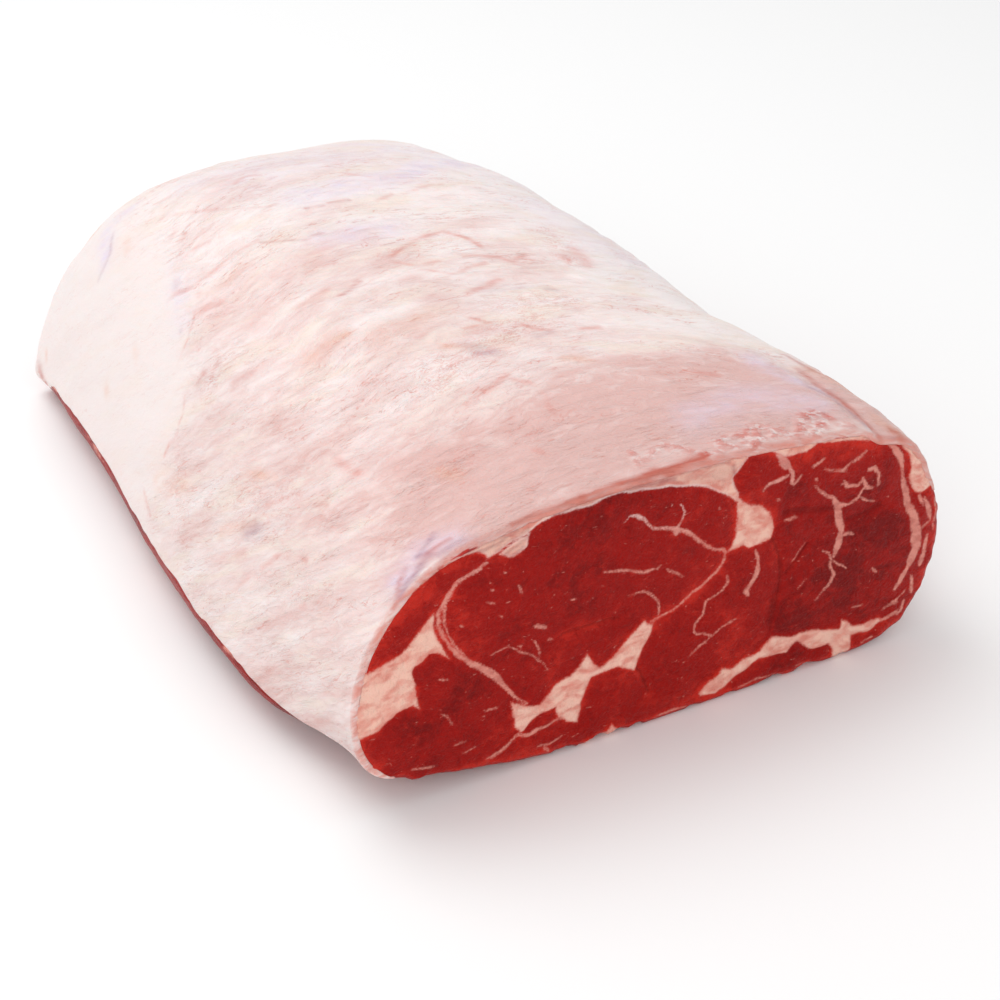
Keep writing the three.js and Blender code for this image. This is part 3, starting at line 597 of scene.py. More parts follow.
def strokes(x, y, z, marks):
    """How strongly marks show at each point: each is a half width, a strength and a line on the cap,
    whose points are (x, y) or (x, y, z)."""
    total = np.zeros(x.shape)
    uneven = 0.8 + 0.5 * layered_noise(x / 6, streak_flow(x, y, z) / 2.5, z / 6, 3)
    x = x + 0.8 * noise(x / 5, y / 5, z / 5)
    y = y + 0.8 * noise(x / 5, y / 5, 50 + z / 5)
    for half_width, strength, points in marks:
        away, _ = line_distance((x, y, z), points)
        total = np.maximum(total, strength * in_bell(away / half_width))
    return np.clip(total * uneven, 0, 1)


def wall_share(x, y, z):
    """1 on the smooth wall at the back of the cap's left flank and 0 elsewhere."""
    edge_z, edge_y = np.array(WALL_EDGE, float).T
    edge = np.interp(z, edge_z, edge_y) + 7 * noise(x / 12, y / 12, z / 12)
    return smooth((y - edge + WALL_BEFORE) / WALL_REACH) * smooth((WALL_X - x) / WALL_REACH_X)


def cap_fields(x, y, z, cut):
    patches = layered_noise(x / 24, streak_flow(x, y, z) / 12, z / 24, 4)
    wall = wall_share(x, y, z)
    # Pinker and darker towards the near face: partly the fat's own colour, partly painted shade.
    pink = PINK_BACK + PINK_AND_SHADE_MIDDLE * smooth((70 - y) / 110)
    pink += PINK_AND_SHADE_NEAR * smooth((-98 - y) / 50) * smooth((x + 112) / 45)
    pink += PINK_FLANK * smooth((-45 - x) / 30) * smooth((-20 - y) / 50)
    pink -= PALE_RIGHT * smooth((x - 16) / 44) * smooth((y + 150) / 40)
    pink = np.clip((pink + PINK_PATCHES * patches) * (1 - WALL_PALE * wall), 0, 1)
    fields = {kind: strokes(x, y, z, marks) for kind, marks in MARKS.items()}
    under_edge = 1 - smooth((z - 5 - 3 * layered_noise(y / 14, z / 6, 1.0, 3)) / 3)
    fields["blood"] = np.maximum(fields["blood"], under_edge * (x < 0))
    return {**fields, "pink": pink, "wall": wall, "cut_edge": cut}


def build_cap():
    loop, outer_count = cap_loop()
    y, share, cut = (loop[None, :, k] for k in range(3))
    start, end = cap_edges(y)
    even = even_turns(CAP_START, CAP_END, 0, CAP_SPACING_TURN)
    round_share = ((even - CAP_START) / (CAP_END - CAP_START))[:, None]
    turn = start + (end - start) * round_share
    base, normal = outline(turn, y), outward(turn, y)
    x, z = base[..., 0], base[..., 1]
    y = np.broadcast_to(y, x.shape)
    rise = fine_cap_relief(x, y, z) * tip_fade(turn, y, 1.5 / 60)
    rise = rise * (1 - WALL_CALM * wall_share(x, y, z))
    rise -= CAP_SINK * (1 - tip_fade(turn, y, 0.4 / 60))
    out = cap_relief(x, y, z, turn) + rise * (1 - share) - share * cap_thickness(turn, y)
    ragged = CAP_RAGGED * np.abs(layered_noise(x / 6, z / 6, 4.0, 3)) * cut
    x, z = x + normal[..., 0] * out, z + normal[..., 1] * out
    points = to_metres(x, y - np.sign(y) * ragged, z)
    columns, count = x.shape
    index = np.arange(columns * count).reshape(columns, count)
    a, b = index[:-1], index[1:]
    quads = np.stack([a, b, np.roll(b, -1, 1), np.roll(a, -1, 1)], -1).reshape(-1, 4)
    ends = close_cap(index[0], outer_count, loop[:, 0], False)
    ends += close_cap(index[-1], outer_count, loop[:, 0], True)
    mesh = new_mesh("fat_cap_skin", points.reshape(-1, 3), [*quads.tolist(), *ends])
    fields = cap_fields(x, y, z, np.broadcast_to(cut, x.shape))
    add_fields(mesh, {name: values.reshape(-1) for name, values in fields.items()})
    add_grain(mesh, x.reshape(-1), y.reshape(-1), z.reshape(-1))
    return mesh


def close_cap(column, outer_count, y, flip):
    """Triangles that close the cap's loop at one of its long edges."""
    outer, outer_y = column[:outer_count], y[:outer_count]
    inner, inner_y = column[outer_count:][::-1], y[outer_count:][::-1]
    return zip_chains(outer, outer_y, inner, inner_y, flip)


def zip_chains(first, first_at, second, second_at, flip=False):
    """Triangles between two open chains of vertices, walked together by their places along the way."""
    faces, i, j = [], 0, 0
    while i + 1 < len(first) or j + 1 < len(second):
        step_first = j + 1 >= len(second) or (i + 1 < len(first) and first_at[i + 1] <= second_at[j + 1])
        if step_first:
            faces.append((int(first[i]), int(second[j]), int(first[i + 1])))
            i += 1
        else:
            faces.append((int(first[i]), int(second[j]), int(second[j + 1])))
            j += 1
    return [face[::-1] if flip else face for face in faces if len(set(face)) == 3]


def zip_rings(first, first_at, second, second_at):
    """Triangles between two closed rings, whose vertices lie at rising shares of the way round."""
    first, second = [*first, first[0]], [*second, second[0]]
    return zip_chains(first, [*first_at, first_at[0] + 1], second, [*second_at, second_at[0] + 1])


def new_mesh(name, points, faces):
    mesh = bpy.data.meshes.new(name)
    mesh.from_pydata(points.tolist(), [], faces)
    mesh.polygons.foreach_set("use_smooth", [True] * len(mesh.polygons))
    mesh.update()
    return mesh


def add_fields(mesh, fields):
    for name, values in fields.items():
        layer = mesh.attributes.new(name, "FLOAT", "POINT")
        layer.data.foreach_set("value", np.ascontiguousarray(values, np.float32))


def add_grain(mesh, x, y, z):
    """Coordinates in millimetres whose second axis runs across the streaks of the surface."""
    layer = mesh.attributes.new("grain", "FLOAT_VECTOR", "POINT")
    values = np.stack([x, streak_flow(x, y, z), z], -1)
    layer.data.foreach_set("vector", np.ascontiguousarray(values.reshape(-1), np.float32))


def lean_inset(turn, y):
    """How far the lean lies below the cap's outer surface: near the ends it reaches into the cap."""
    clear = HIDDEN_CLEARANCE * smooth((HALF - np.abs(y) - 6) / 8)
    return tip_fade(turn, y, 1.2 / 60) * (cap_thickness(turn, y) - TUCK + clear)


def rib_hollow(x, y, z):
    depth = np.zeros(np.broadcast(x, y, z).shape)
    for rib in range(RIB_COUNT):
        middle = (rib - (RIB_COUNT - 1) / 2) * RIB_SPACING + RIB_SKEW * x
        away = np.minimum(np.abs(y - middle) / RIB_HALF_WIDTH, 1)
        depth = np.maximum(depth, RIB_DEPTH * (1 - smooth(away)))
    return depth * (1 - smooth(z / RIB_REACH_Z))


def bareness(turn, y):
    """1 where the lean's flank shows and 0 under the cap."""
    return 1 - tip_fade(turn, y, 0.5 / 60)


def lean_section(turn, y, inward):
    """Points of the lean's flank, lowered by some depth where it shows."""
    base, normal = outline(turn, y), outward(turn, y)
    x, z = base[..., 0], base[..., 1]
    y = np.broadcast_to(np.asarray(y, float), x.shape)
    bare = bareness(turn, y)
    near_end = smooth(1 - (HALF - np.abs(y)) / TORN_REACH)
    torn = TORN_RISE * layered_noise(x / 8, y / 10, z / 8, 3) * near_end
    grain = GRAIN_RISE * layered_noise(x / 8, y / 22, z / 5, 3)
    rough = bare * ((torn + grain) * smooth(z / 4) - inward)
    out = rough + cap_relief(x, y, z, turn) - lean_inset(turn, y)
    x, z = x + normal[..., 0] * out, z + normal[..., 1] * out
    z = np.maximum(z, 0)
    lifted = FOOT_LIFT * near_end * np.maximum(layered_noise(x / 8, y / 7, 3.0, 4), 0) * (1 - smooth(z / 8))
    return x, y, z + bare * np.maximum(rib_hollow(x, y, z), lifted)


def inside_outline(x, z, points):
    points = np.asarray(points, float)
    inside = np.zeros(x.shape, bool)
    for (ax, az), (bx, bz) in zip(points, np.roll(points, -1, 0)):
        if az != bz:
            crosses = (az > z) != (bz > z)
            inside ^= crosses & (x < (bx - ax) * (z - az) / (bz - az) + ax)
    return inside


def outline_distance(here, points):
    away, _ = line_distance(here, [*points, points[0]])
    return np.where(inside_outline(*here, points), -away, away)


def face_fields(x, z):
    """What the near face's drawing has at a point: signed distances to any fat, to thick fat and to the
    next border of a muscle, and how deep in a dark line it lies."""
    wander_x = x + FACE_WANDER * layered_noise(x / 5, 3.0, z / 5, 2)
    wander_z = z + FACE_WANDER * layered_noise(x / 5, 40.0, z / 5, 2)
    here = wander_x, wander_z
    thick = np.full(x.shape, 1e9)
    for patch in [TOP_FAT, *KERNELS]:
        thick = np.minimum(thick, outline_distance(here, patch))
    fat, border = thick, np.maximum(thick, 0)
    for half_width, points in [*VEINS, *BORDER_VEINS]:
        away, along = line_distance(here, points)
        taper = 0.45 + 0.55 * np.sqrt(np.maximum(1 - (2 * along - 1) ** 2, 0))
        uneven = 1 + 0.35 * noise(x / 4, 5.0, z / 4)
        fat = np.minimum(fat, away - half_width * taper * uneven)
        if (half_width, points) in BORDER_VEINS:
            border = np.minimum(border, away)
    crease, fold = np.zeros(x.shape), np.zeros(x.shape)
    for half_width, points in CREASES:
        away, _ = line_distance(here, points)
        crease = np.maximum(crease, in_bell(away / (1.8 * half_width)))
        border = np.minimum(border, away)
    for half_width, strength, points in FOLDS:
        away, _ = line_distance(here, points)
        fold = np.maximum(fold, strength * in_bell(away / (1.5 * half_width)))
    return {"fat": fat, "thick": thick, "crease": crease, "fold": fold}, border


def muscle_tone(x, z):
    """How light the lean is at a point of the near face's drawing, from -1 to 1."""
    tone = 0.1 - 0.45 * smooth((x - 44) / 6)
    for spot_x, spot_z, radius, lighter in TONE_SPOTS:
        tone = tone + lighter * in_bell(np.hypot(x - spot_x, z - spot_z) / radius)
    return np.clip(tone, -1, 1)


def flank_fields(x, y, z, turn):
    """Fat on the bare flank and underside: streaks along the roast, and a pale film in the rib hollows."""
    streaks = layered_noise(turn * 95, y / 70, 2.0, 3) + 0.4 * layered_noise(x / 7, y / 16, z / 7, 3)
    side = SIDE_BARE - SIDE_STREAKS * streaks + SIDE_SPECKS * layered_noise(x / 3, y / 5, z / 3, 2)
    film = FILM_BARE - FILM_HOLLOWS * rib_hollow(x, y, z)
    film += FILM_CLOUDS * layered_noise(x / 18, y / 7, 5.0, 3)
    film += FILM_SPECKS * layered_noise(x / 5, y / 2.5, 9.0, 3)
    under = 1 - smooth(z / UNDERSIDE_Z)
    return side + (film - side) * under + LEFT_BARE * smooth((LEFT_BARE_X - x) / LEFT_BARE_REACH)


class LeanRings:
    """The rings of the lean's surface from the near face to the far one, with what each point shows."""

    def __init__(self):
        self.points, self.rings, self.fields, self.count = [], [], {}, 0

    def add(self, x, y, z, at, fields):
        self.rings.append((list(range(self.count, self.count + len(x))), list(at)))
        self.points.append(np.stack([x, y, z], -1))
        self.count += len(x)
        for name, values in fields.items():
            self.fields.setdefault(name, []).append(np.broadcast_to(values, x.shape))

    def add_face(self, end, spacing):
        """An end face, as rings between its medial line and its rim."""
        y = end * HALF
        fine = np.linspace(0, 1, 3000, endpoint=False)
        rim_x, _, rim_z = lean_section(fine, y, RIM_ROUND)
        steps = np.hypot(np.diff(rim_x, append=rim_x[0]), np.diff(rim_z, append=rim_z[0]))
        travelled = np.concatenate([[0], np.cumsum(steps)])
        middle_z = MEDIAL_Z * profile(y, HEIGHT)
        shares = np.linspace(0.012, 1, int(middle_z / spacing))
        for share in shares if end < 0 else shares[::-1]:
            scale = MEDIAL_SHARE + (1 - MEDIAL_SHARE) * share
            count = int(travelled[-1] * scale / spacing)
            turn = np.interp(np.arange(count) / count * travelled[-1], travelled, np.append(fine, 1.0))
            x, _, z = lean_section(turn, y, RIM_ROUND)
            x, z = x * scale, middle_z + (z - middle_z) * share
            self.add_face_ring(end, x, z, turn, (1 - share) * middle_z)

    def add_face_ring(self, end, x, z, turn, from_rim):
        drawn_x, drawn_z = unplace(x, z, end * HALF)
        if end > 0:
            drawn_x, drawn_z = far_face_pattern(drawn_x, drawn_z)
        fields, border = face_fields(drawn_x, drawn_z)
        border = np.minimum(border, from_rim + 1.5)
        lean_rise = 0.05 + DOME_RISE * (1 - np.exp(-border / DOME_REACH))
        lean_rise += 0.12 * layered_noise(drawn_x / 3, drawn_z / 3, 7.0, 2)
        fat_rise = FAT_RISE + 0.3 * layered_noise(drawn_x / 5, drawn_z / 5, 2.0, 3)
        rise = fat_rise + (lean_rise - fat_rise) * smooth((fields["thick"] + 0.5) / 1.6)
        rise -= CREASE_SINK * fields["crease"] + FOLD_SINK * fields["fold"]
        y = end * (HALF - FACE_BACK + rise)
        glow = BORDER_GLOW * np.exp(-border / BORDER_GLOW_REACH)
        glow += RIM_GLOW * np.exp(-from_rim / RIM_GLOW_REACH)
        glow += EDGE_GLOW * np.exp(-from_rim / EDGE_GLOW_REACH)
        film = in_bell(np.hypot((drawn_x - FILM_AND_SHADE_X) / FILM_AND_SHADE_REACH_X, (drawn_z - FILM_AND_SHADE_Z) / FILM_AND_SHADE_REACH_Z))
        # Painted shade: where the film lies, the lean keeps no lighter borders and stays darker.
        tone = np.clip(muscle_tone(drawn_x, drawn_z) + glow * (1 - film), -1, 1)
        self.add(x, y, z, turn, {**fields, "tone": tone, "film": film})

    def add_flank(self):
        covered = np.linspace(CAP_START + 0.02, CAP_END - 0.05, 50)
        bare = even_turns(CAP_END - 0.05, CAP_START + 1.02, 0, FLANK_SPACING) % 1.0
        turn = np.unique(np.concatenate([covered, bare]))
        rounds = [(RIM_ROUND * (1 - math.cos(a)), RIM_ROUND * (1 - math.sin(a)))
                  for a in np.linspace(0.35, math.pi / 2, 4)]
        reach = HALF - FACE_BACK
        inner = reach - RIM_ROUND
        stations = [(-reach + into, inward) for into, inward in rounds]
        stations += [(y, 0) for y in np.linspace(-inner, inner, int(2 * inner / FLANK_STATION))[1:-1]]
        stations += [(reach - into, inward) for into, inward in rounds[::-1]]
        for station, inward in stations:
            x, y, z = lean_section(turn, station, inward)
            drawn_x, drawn_z = unplace(x, z, y)
            if station > 0:
                drawn_x, drawn_z = far_face_pattern(drawn_x, drawn_z)
            faced, _ = face_fields(drawn_x, drawn_z)
            from_end = HALF - abs(station)
            ending = smooth(from_end / 12)
            side = flank_fields(x, y, z, turn)
            fat = faced["fat"] + (side - faced["fat"]) * ending
            fields = {"fat": fat, "thick": fat + 0.6, "tone": 0.5 - 0.8 * ending}
            self.add(x, y, z, turn, {**fields, "crease": 0.0, "fold": 0.0, "film": 0.0})

    def build(self, name):
        points = np.concatenate(self.points)
        faces = []
        for (first, first_at), (second, second_at) in zip(self.rings[:-1], self.rings[1:]):
            faces += zip_rings(first, first_at, second, second_at)
        faces += close_slit(self.rings[0][0], points, False)
        faces += close_slit(self.rings[-1][0], points, True)
        mesh = new_mesh(name, to_metres(*points.T), faces)
        add_fields(mesh, {name: np.concatenate(values) for name, values in self.fields.items()})
        add_grain(mesh, *points.T)
        return mesh


def close_slit(ring, points, flip):
    """Triangles across a ring that is nearly flattened to a line along X."""
    across = points[ring, 0]
    left, right, count = int(across.argmin()), int(across.argmax()), len(ring)
    under = [ring[(left + k) % count] for k in range((right - left) % count + 1)]
    over = [ring[(left - k) % count] for k in range((left - right) % count + 1)]
    return zip_chains(over, points[over, 0], under, points[under, 0], flip)


def far_face_pattern(x, z):
    """Where in the near face's drawing the far face takes its pattern from."""
    warped_x = x * 0.97 + 3 * noise(x / 40, 9.0, z / 40)
    return warped_x, z * 0.98 + 3 * noise(x / 40, 29.0, z / 40)


def build_lean():
    rings = LeanRings()
    rings.add_face(-1, NEAR_SPACING)
    rings.add_flank()
    rings.add_face(1, FAR_SPACING)
    return rings.build("lean_meat")


def srgb(red, green, blue):
    """A colour given in steps of 255, as the linear values that sockets take."""
    shares = [value / 255 for value in (red, green, blue)]
    return (*[s / 12.92 if s <= 0.04045 else ((s + 0.055) / 1.055) ** 2.4 for s in shares], 1.0)


LEAN_DARK, LEAN_MIDDLE, LEAN_BRIGHT = srgb(118, 10, 9), srgb(153, 16, 11), srgb(198, 42, 30)
# The second colour on the next line darkens the lean's fibre lines and is the painted shade in its creases.
LEAN_STREAK, SHADE_AND_FIBRE_DARK, FOLD_BROWN_AND_SHADE = srgb(188, 52, 40), srgb(86, 6, 8), srgb(168, 106, 104)
KERNEL_LIGHT, KERNEL_PINK, VEIN_PINK = srgb(243, 194, 176), srgb(224, 142, 127), srgb(222, 144, 130)
FAT_WHITE, FAT_PINK, FAT_BLUSH = srgb(246, 235, 233), srgb(222, 182, 176), srgb(230, 180, 168)
# The last colour on the next line is painted shade: a darker white for the cap's smooth wall.
FAT_CREAM, CRUMB_RED, WALL_SHADE = srgb(238, 219, 205), srgb(212, 98, 84), srgb(237, 224, 221)
# The colour of each kind of mark, and how much of it shows where the mark is strongest.
MARK_COLOURS = {
    "lilac": (srgb(226, 212, 232), 0.75),
    "peach": (srgb(232, 176, 148), 0.75),
    "purple": (srgb(172, 132, 148), 0.85),
    "salmon": (srgb(216, 130, 116), 0.8),
    "dark_red": (srgb(192, 96, 84), 0.85),
    # These white marks are painted highlights.
    "painted_highlight": (srgb(250, 240, 236), 0.6),
    "rust": (srgb(188, 84, 64), 0.9),
}


class Nodes:
    """A material's node tree, with one short call for each kind of node that it uses."""

    def __init__(self, name):
        self.material = bpy.data.materials.new(name)
        self.material.use_nodes = True
        self.tree = self.material.node_tree
        self.tree.nodes.clear()

    def add(self, kind, inputs, output=0, **settings):
        node = self.tree.nodes.new("ShaderNode" + kind)
        for name, value in settings.items():
            setattr(node, name, value)
        for key, value in inputs.items():
            socket = node.inputs[key]
            if isinstance(value, bpy.types.NodeSocket):
                self.tree.links.new(value, socket)
            else:
                socket.default_value = value
        return node.outputs[output]

    def field(self, name):
        return self.add("Attribute", {}, "Fac", attribute_name=name)

    def grain(self, scale):
        """The grain coordinates, with so many marks a millimetre along each axis."""
        vector = self.add("Attribute", {}, "Vector", attribute_name="grain")
        return self.add("VectorMath", {0: vector, 1: scale}, operation="MULTIPLY")

    def noise(self, scale, detail=4.0, roughness=0.55, distortion=0.0):
        """Noise along the grain, most of it between 0.3 and 0.7."""
        inputs = {"Vector": self.grain(scale), "Scale": 1.0, "Detail": detail, "Roughness": roughness,
                  "Distortion": distortion}
        return self.add("TexNoise", inputs, "Fac")

    def math(self, operation, first, second):
        return self.add("Math", {0: first, 1: second}, operation=operation)

    def span(self, value, low, high, to_low=0.0, to_high=1.0):
        """The value carried smoothly from one range to another, and held at its ends."""
        inputs = {"Value": value, "From Min": low, "From Max": high, "To Min": to_low, "To Max": to_high}
        return self.add("MapRange", inputs, interpolation_type="SMOOTHSTEP")

    def mix(self, share, first, second):
        return self.add("Mix", {"Factor": share, 6: first, 7: second}, 2, data_type="RGBA")

    def total(self, value, *others):
        for other in others:
            value = self.math("ADD", value, other)
        return value

    def scaled(self, value, *shares):
        for share in shares:
            value = self.math("MULTIPLY", value, share)
        return value

    def lines(self, value, half_width):
        """1 along the lines where a noise passes its middle and 0 further away."""
        away = self.math("ABSOLUTE", self.math("SUBTRACT", value, 0.5), 0.0)
        return self.span(away, 0.0, half_width, 1.0, 0.0)

    def voronoi_edge(self, scale):
        """Distance to the next border between cells that are drawn out along the grain."""
        inputs = {"Vector": self.grain(scale), "Scale": 1.0, "Randomness": 1.0}
        return self.add("TexVoronoi", inputs, "Distance", feature="DISTANCE_TO_EDGE")

    def bump(self, height):
        """A normal for a height in millimetres."""
        return self.add("Bump", {"Height": height, "Strength": 1.0, "Distance": MM})

    def finish(self, inputs):
        surface = self.add("BsdfPrincipled", inputs)
        output = self.tree.nodes.new("ShaderNodeOutputMaterial")
        self.tree.links.new(surface, output.inputs["Surface"])
        return self.material


def lean_colour(nodes, broad, mottle, fine, bundles):
    """The lean, from dark to bright, with its bundles, threads, dark fibre lines and flecks of fat, and
    painted shade in its creases.
    """
    level = nodes.total(nodes.scaled(nodes.field("tone"), 0.5), nodes.span(broad, 0.3, 0.7, 0.3, 0.7),
                        nodes.span(mottle, 0.3, 0.7, -0.13, 0.13), nodes.span(fine, 0.3, 0.7, -0.04, 0.04))
    lean = nodes.mix(nodes.span(level, 0.0, 0.5), LEAN_DARK, LEAN_MIDDLE)
    lean = nodes.mix(nodes.span(level, 0.5, 1.1), lean, LEAN_BRIGHT)
    lean = nodes.mix(nodes.span(bundles, 0.0, 0.06, 0.14, 0.0), lean, LEAN_STREAK)
    threads = nodes.lines(nodes.noise((0.09, 0.05, 0.14), 4.0, 0.6, 0.8), 0.012)
    threads = nodes.scaled(threads, nodes.span(mottle, 0.45, 0.6, 0.0, 0.5))
    lean = nodes.mix(threads, lean, LEAN_STREAK)
    dark = nodes.lines(nodes.noise((0.07, 0.05, 0.16), 4.0, 0.6, 1.0), 0.01)
    dark = nodes.scaled(dark, nodes.span(broad, 0.4, 0.6, 0.0, 0.45))
    lean = nodes.mix(dark, lean, SHADE_AND_FIBRE_DARK)
    flecks = nodes.noise((0.3, 0.1, 0.6), 4.0, 0.7, 0.6)
    lean = nodes.mix(nodes.span(flecks, 0.645, 0.72, 0.0, 0.6), lean, VEIN_PINK)
    # Painted shade in the creases where muscles part.
    return nodes.mix(nodes.scaled(nodes.field("crease"), 0.55), lean, SHADE_AND_FIBRE_DARK)


def seam_colour(nodes, thick):
    """The fat in the lean: pale where it is thick, pink where it is thin, white under the film."""
    lumps = nodes.noise((0.14, 0.1, 0.2), 4.0, 0.5, 0.4)
    kernel = nodes.mix(nodes.span(lumps, 0.4, 0.68), KERNEL_LIGHT, KERNEL_PINK)
    kernel = nodes.mix(nodes.scaled(nodes.lines(lumps, 0.012), 0.3), kernel, VEIN_PINK)
    colour = nodes.mix(nodes.span(thick, -1.3, 0.3), kernel, VEIN_PINK)
    white_edge = nodes.scaled(nodes.span(thick, -1.3, -0.6, 0.0, 0.6), nodes.field("film"))
    colour = nodes.mix(white_edge, colour, FAT_WHITE)
    # The film's folds: partly its own brownish colour, partly painted shade.
    return nodes.mix(nodes.field("fold"), colour, FOLD_BROWN_AND_SHADE)


def lean_material():
    nodes = Nodes("lean_and_seam_fat")
    thick = nodes.field("thick")
    broad = nodes.noise((0.06, 0.03, 0.07), 4.0, 0.5, 0.4)
    mottle = nodes.noise((0.3, 0.1, 0.3), 5.0, 0.6, 0.6)
    fine = nodes.noise((1.2, 0.4, 1.2), 3.0, 0.6)
    bundles = nodes.voronoi_edge((0.42, 0.08, 0.3))
    edge = nodes.total(nodes.field("fat"), nodes.span(fine, 0.3, 0.7, -0.25, 0.25))
    veil = nodes.span(nodes.noise((0.2, 0.2, 0.2), 3.0), 0.36, 0.58, 0.65, 1.0)
    veil = nodes.math("MAXIMUM", veil, nodes.span(thick, -0.3, 0.8, 1.0, 0.0))
    fatness = nodes.scaled(nodes.span(edge, -0.6, 0.45, 1.0, 0.0), veil)
    lean = lean_colour(nodes, broad, mottle, fine, bundles)
    height = nodes.total(nodes.span(bundles, 0.0, 0.2, 0.0, 0.06), nodes.span(fine, 0.2, 0.8, 0.0, 0.1),
                         nodes.span(mottle, 0.2, 0.8, 0.0, 0.4))
    roughness = nodes.total(nodes.span(fine, 0.3, 0.7, 0.26, 0.42), nodes.scaled(fatness, 0.1))
    return nodes.finish({
        "Base Color": nodes.mix(fatness, lean, seam_colour(nodes, thick)), "Roughness": roughness,
        "Normal": nodes.bump(height), "Specular IOR Level": 0.09, "Subsurface Weight": 0.12,
        "Subsurface Radius": (1.0, 0.2, 0.15), "Subsurface Scale": 0.001,
    })


def clean_cap_colour(nodes, mottle, feather, patch, rough_share):
    """The cap's fat from white to pink, less pink on its smooth wall but darkened there by painted shade,
    with blushes and cream places.
    """
    flecked = nodes.span(nodes.field("pink"), 0.5, 0.95, 1.0, 2.4)
    uneven = nodes.scaled(nodes.span(mottle, 0.3, 0.7, -0.1, 0.1), rough_share, flecked)
    pinkness = nodes.total(nodes.field("pink"), uneven)
    base = nodes.mix(nodes.span(pinkness, 0.0, 1.0), FAT_WHITE, FAT_PINK)
    # Painted shade: the smooth wall is mixed towards a darker white.
    base = nodes.mix(nodes.scaled(nodes.field("wall"), 0.6), base, WALL_SHADE)
    blush = nodes.scaled(nodes.span(feather, 0.54, 0.72, 0.0, 0.38), patch, rough_share)
    base = nodes.mix(blush, base, FAT_BLUSH)
    cream = nodes.noise((0.035, 0.09, 0.05), 3.0, 0.5, 0.5)
    pale = nodes.span(pinkness, 0.3, 0.75, 0.6, 0.0)
    return nodes.mix(nodes.scaled(nodes.span(cream, 0.45, 0.7), pale, rough_share), base, FAT_CREAM)


def marked_cap_colour(nodes, base, mottle, feather, scales, crumbly):
    """The same with the marks, some of them painted highlights, scales, crumbs with painted highlights on
    their tops, cut edges and blood on it.
    """
    for kind, (colour, strength) in MARK_COLOURS.items():
        base = nodes.mix(nodes.scaled(nodes.field(kind), strength), base, colour)
    scale_edges = nodes.scaled(nodes.lines(scales, 0.04), nodes.field("scaly"), 0.8)
    base = nodes.mix(scale_edges, base, MARK_COLOURS["salmon"][0])
    # Painted highlight: the crumbs are white where their bump is highest, and red lower down.
    crumb_and_highlight_colour = nodes.mix(nodes.span(crumbly, 0.42, 0.64), CRUMB_RED, FAT_WHITE)
    base = nodes.mix(nodes.scaled(nodes.field("crumb"), 0.8), base, crumb_and_highlight_colour)
    raw_edge = nodes.scaled(nodes.field("cut_edge"), nodes.span(mottle, 0.35, 0.65, 0.25, 0.9))
    base = nodes.mix(raw_edge, base, KERNEL_PINK)
    blood = nodes.total(nodes.field("blood"), nodes.span(feather, 0.3, 0.7, -0.2, 0.2))
    blood_colour = nodes.mix(nodes.span(feather, 0.4, 0.6), LEAN_MIDDLE, LEAN_BRIGHT)
    return nodes.mix(nodes.span(blood, 0.4, 0.75), base, blood_colour)


def cap_material():
    nodes = Nodes("fat_cap")
    rough_share = nodes.span(nodes.field("wall"), 0.0, 1.0, 1.0, 0.3)
    cloud = nodes.noise((0.03, 0.06, 0.04), 4.0, 0.55, 0.3)
    mottle = nodes.noise((0.11, 0.26, 0.14), 5.0, 0.6, 0.8)
    feather = nodes.noise((0.12, 0.5, 0.18), 5.0, 0.62, 1.0)
    pores = nodes.noise((0.9, 0.9, 0.9), 3.0, 0.6)
    scales = nodes.noise((0.16, 0.4, 0.2), 5.0, 0.65, 1.6)
    crumbly = nodes.noise((0.3, 0.34, 0.3), 3.0, 0.55, 0.4)
    patch = nodes.span(cloud, 0.42, 0.58, 0.2, 1.0)
    threads = nodes.lines(nodes.noise((0.045, 0.17, 0.07), 4.0, 0.55, 1.2), 0.018)
    threads = nodes.scaled(threads, nodes.span(feather, 0.4, 0.6, 0.0, 0.6), patch, rough_share)
    base = clean_cap_colour(nodes, mottle, feather, patch, rough_share)
    base = nodes.mix(threads, base, MARK_COLOURS["salmon"][0])
    base = marked_cap_colour(nodes, base, mottle, feather, scales, crumbly)
    height = nodes.total(
        nodes.scaled(nodes.span(feather, 0.2, 0.8, 0.0, 0.24), patch, rough_share),
        nodes.scaled(nodes.span(mottle, 0.2, 0.8, 0.0, 0.4), rough_share),
        nodes.span(pores, 0.2, 0.8, 0.0, 0.05),
        nodes.scaled(threads, -0.15),
        nodes.scaled(nodes.span(scales, 0.3, 0.7, 0.0, 0.2), nodes.field("scaly")),
        nodes.scaled(nodes.span(crumbly, 0.3, 0.7, 0.0, 0.6), nodes.field("crumb")))
    return nodes.finish({
        "Base Color": base, "Roughness": nodes.span(pores, 0.3, 0.7, 0.36, 0.52),
        "Normal": nodes.bump(height), "Specular IOR Level": 0.35, "Subsurface Weight": 0.2,
        "Subsurface Radius": (1.0, 0.5, 0.4), "Subsurface Scale": 0.0012,
    })


def floor_material():
    nodes = Nodes("pale_floor")
    return nodes.finish({"Base Color": FLOOR_WHITE, "Roughness": 0.7, "Specular IOR Level": 0.2})


def add_object(name, mesh, material):
    mesh.materials.append(material)
    thing = bpy.data.objects.new(name, mesh)
    bpy.context.scene.collection.objects.link(thing)
    return thing


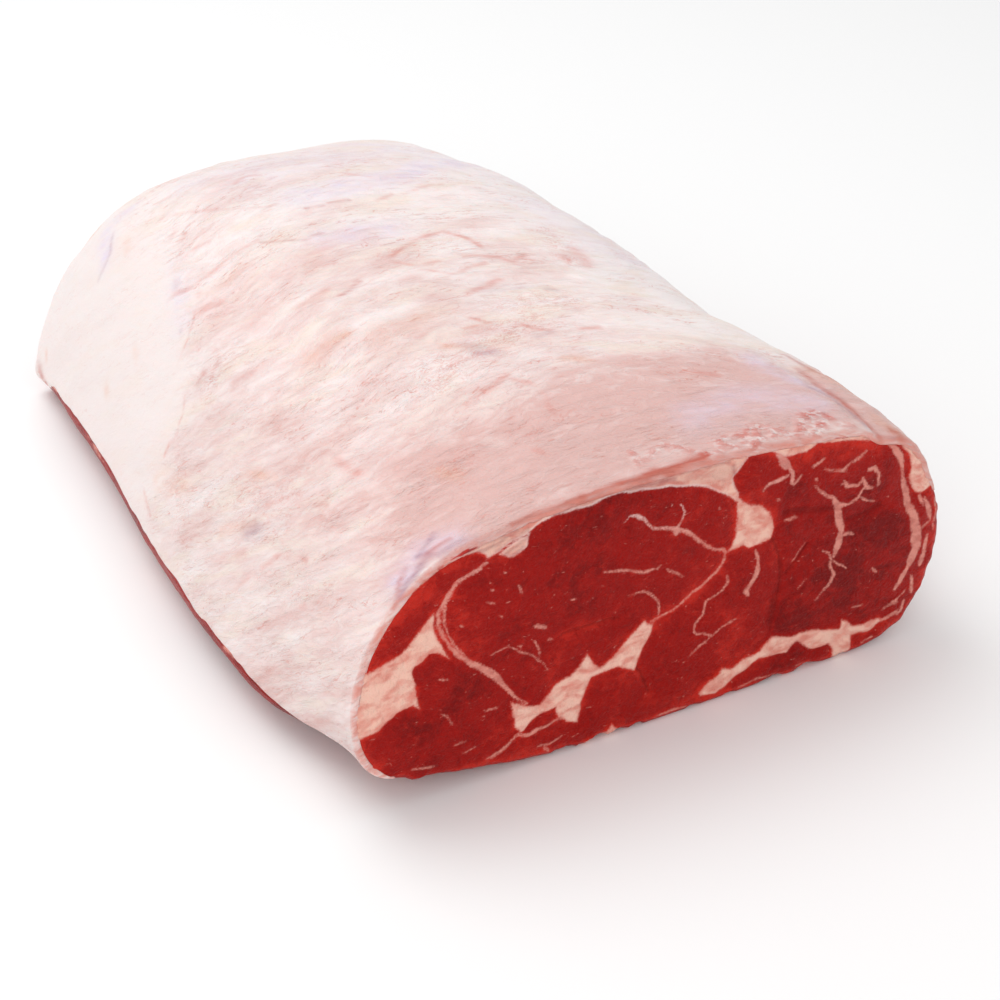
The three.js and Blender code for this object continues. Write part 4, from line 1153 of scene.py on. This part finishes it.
def add_roast():
    lean = add_object("lean_meat", build_lean(), lean_material())
    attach(lean, "root")
    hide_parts("lean", "seam_fat_upper", "seam_fat_lower", "seam_fat_rib_side")
    cap = add_object("fat_cap_skin", build_cap(), cap_material())
    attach(cap, "root")
    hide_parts("fat_cap")


def add_floor():
    mesh = bpy.data.meshes.new("floor")
    corners = [(-FLOOR_HALF, -FLOOR_HALF, 0), (FLOOR_HALF, -FLOOR_HALF, 0),
               (FLOOR_HALF, FLOOR_HALF, 0), (-FLOOR_HALF, FLOOR_HALF, 0)]
    mesh.from_pydata(corners, [], [(0, 1, 2, 3)])
    add_object("floor", mesh, floor_material())


def turn_towards(thing, target):
    away = thing.location - mathutils.Vector(target)
    thing.rotation_euler = away.to_track_quat("Z", "Y").to_euler()


def add_light(name, place, width, power):
    light = bpy.data.lights.new(name, "AREA")
    light.shape = "SQUARE"
    light.size = width
    light.energy = power
    lamp = bpy.data.objects.new(name, light)
    lamp.location = place
    bpy.context.scene.collection.objects.link(lamp)
    turn_towards(lamp, LAMP_TARGET)


def add_lighting():
    world = bpy.data.worlds.new("soft_white")
    world.use_nodes = True
    background = world.node_tree.nodes["Background"]
    background.inputs["Color"].default_value = (1.0, 1.0, 1.0, 1.0)
    background.inputs["Strength"].default_value = WORLD_STRENGTH
    bpy.context.scene.world = world
    for lamp in LAMPS:
        add_light(*lamp)


def add_camera():
    azimuth, elevation = math.radians(CAMERA_AZIMUTH), math.radians(CAMERA_ELEVATION)
    level = math.cos(elevation)
    back = mathutils.Vector((math.sin(azimuth) * level, -math.cos(azimuth) * level, math.sin(elevation)))
    data = bpy.data.cameras.new("camera")
    data.lens = CAMERA_LENS
    data.sensor_width = CAMERA_SENSOR
    data.sensor_fit = "HORIZONTAL"
    camera = bpy.data.objects.new("camera", data)
    target = mathutils.Vector(CAMERA_TARGET)
    camera.location = target + back * CAMERA_DISTANCE
    bpy.context.scene.collection.objects.link(camera)
    turn_towards(camera, target)
    bpy.context.scene.camera = camera


bpy.context.scene.view_settings.view_transform = "Standard"
add_camera()
add_floor()
add_lighting()
add_roast()
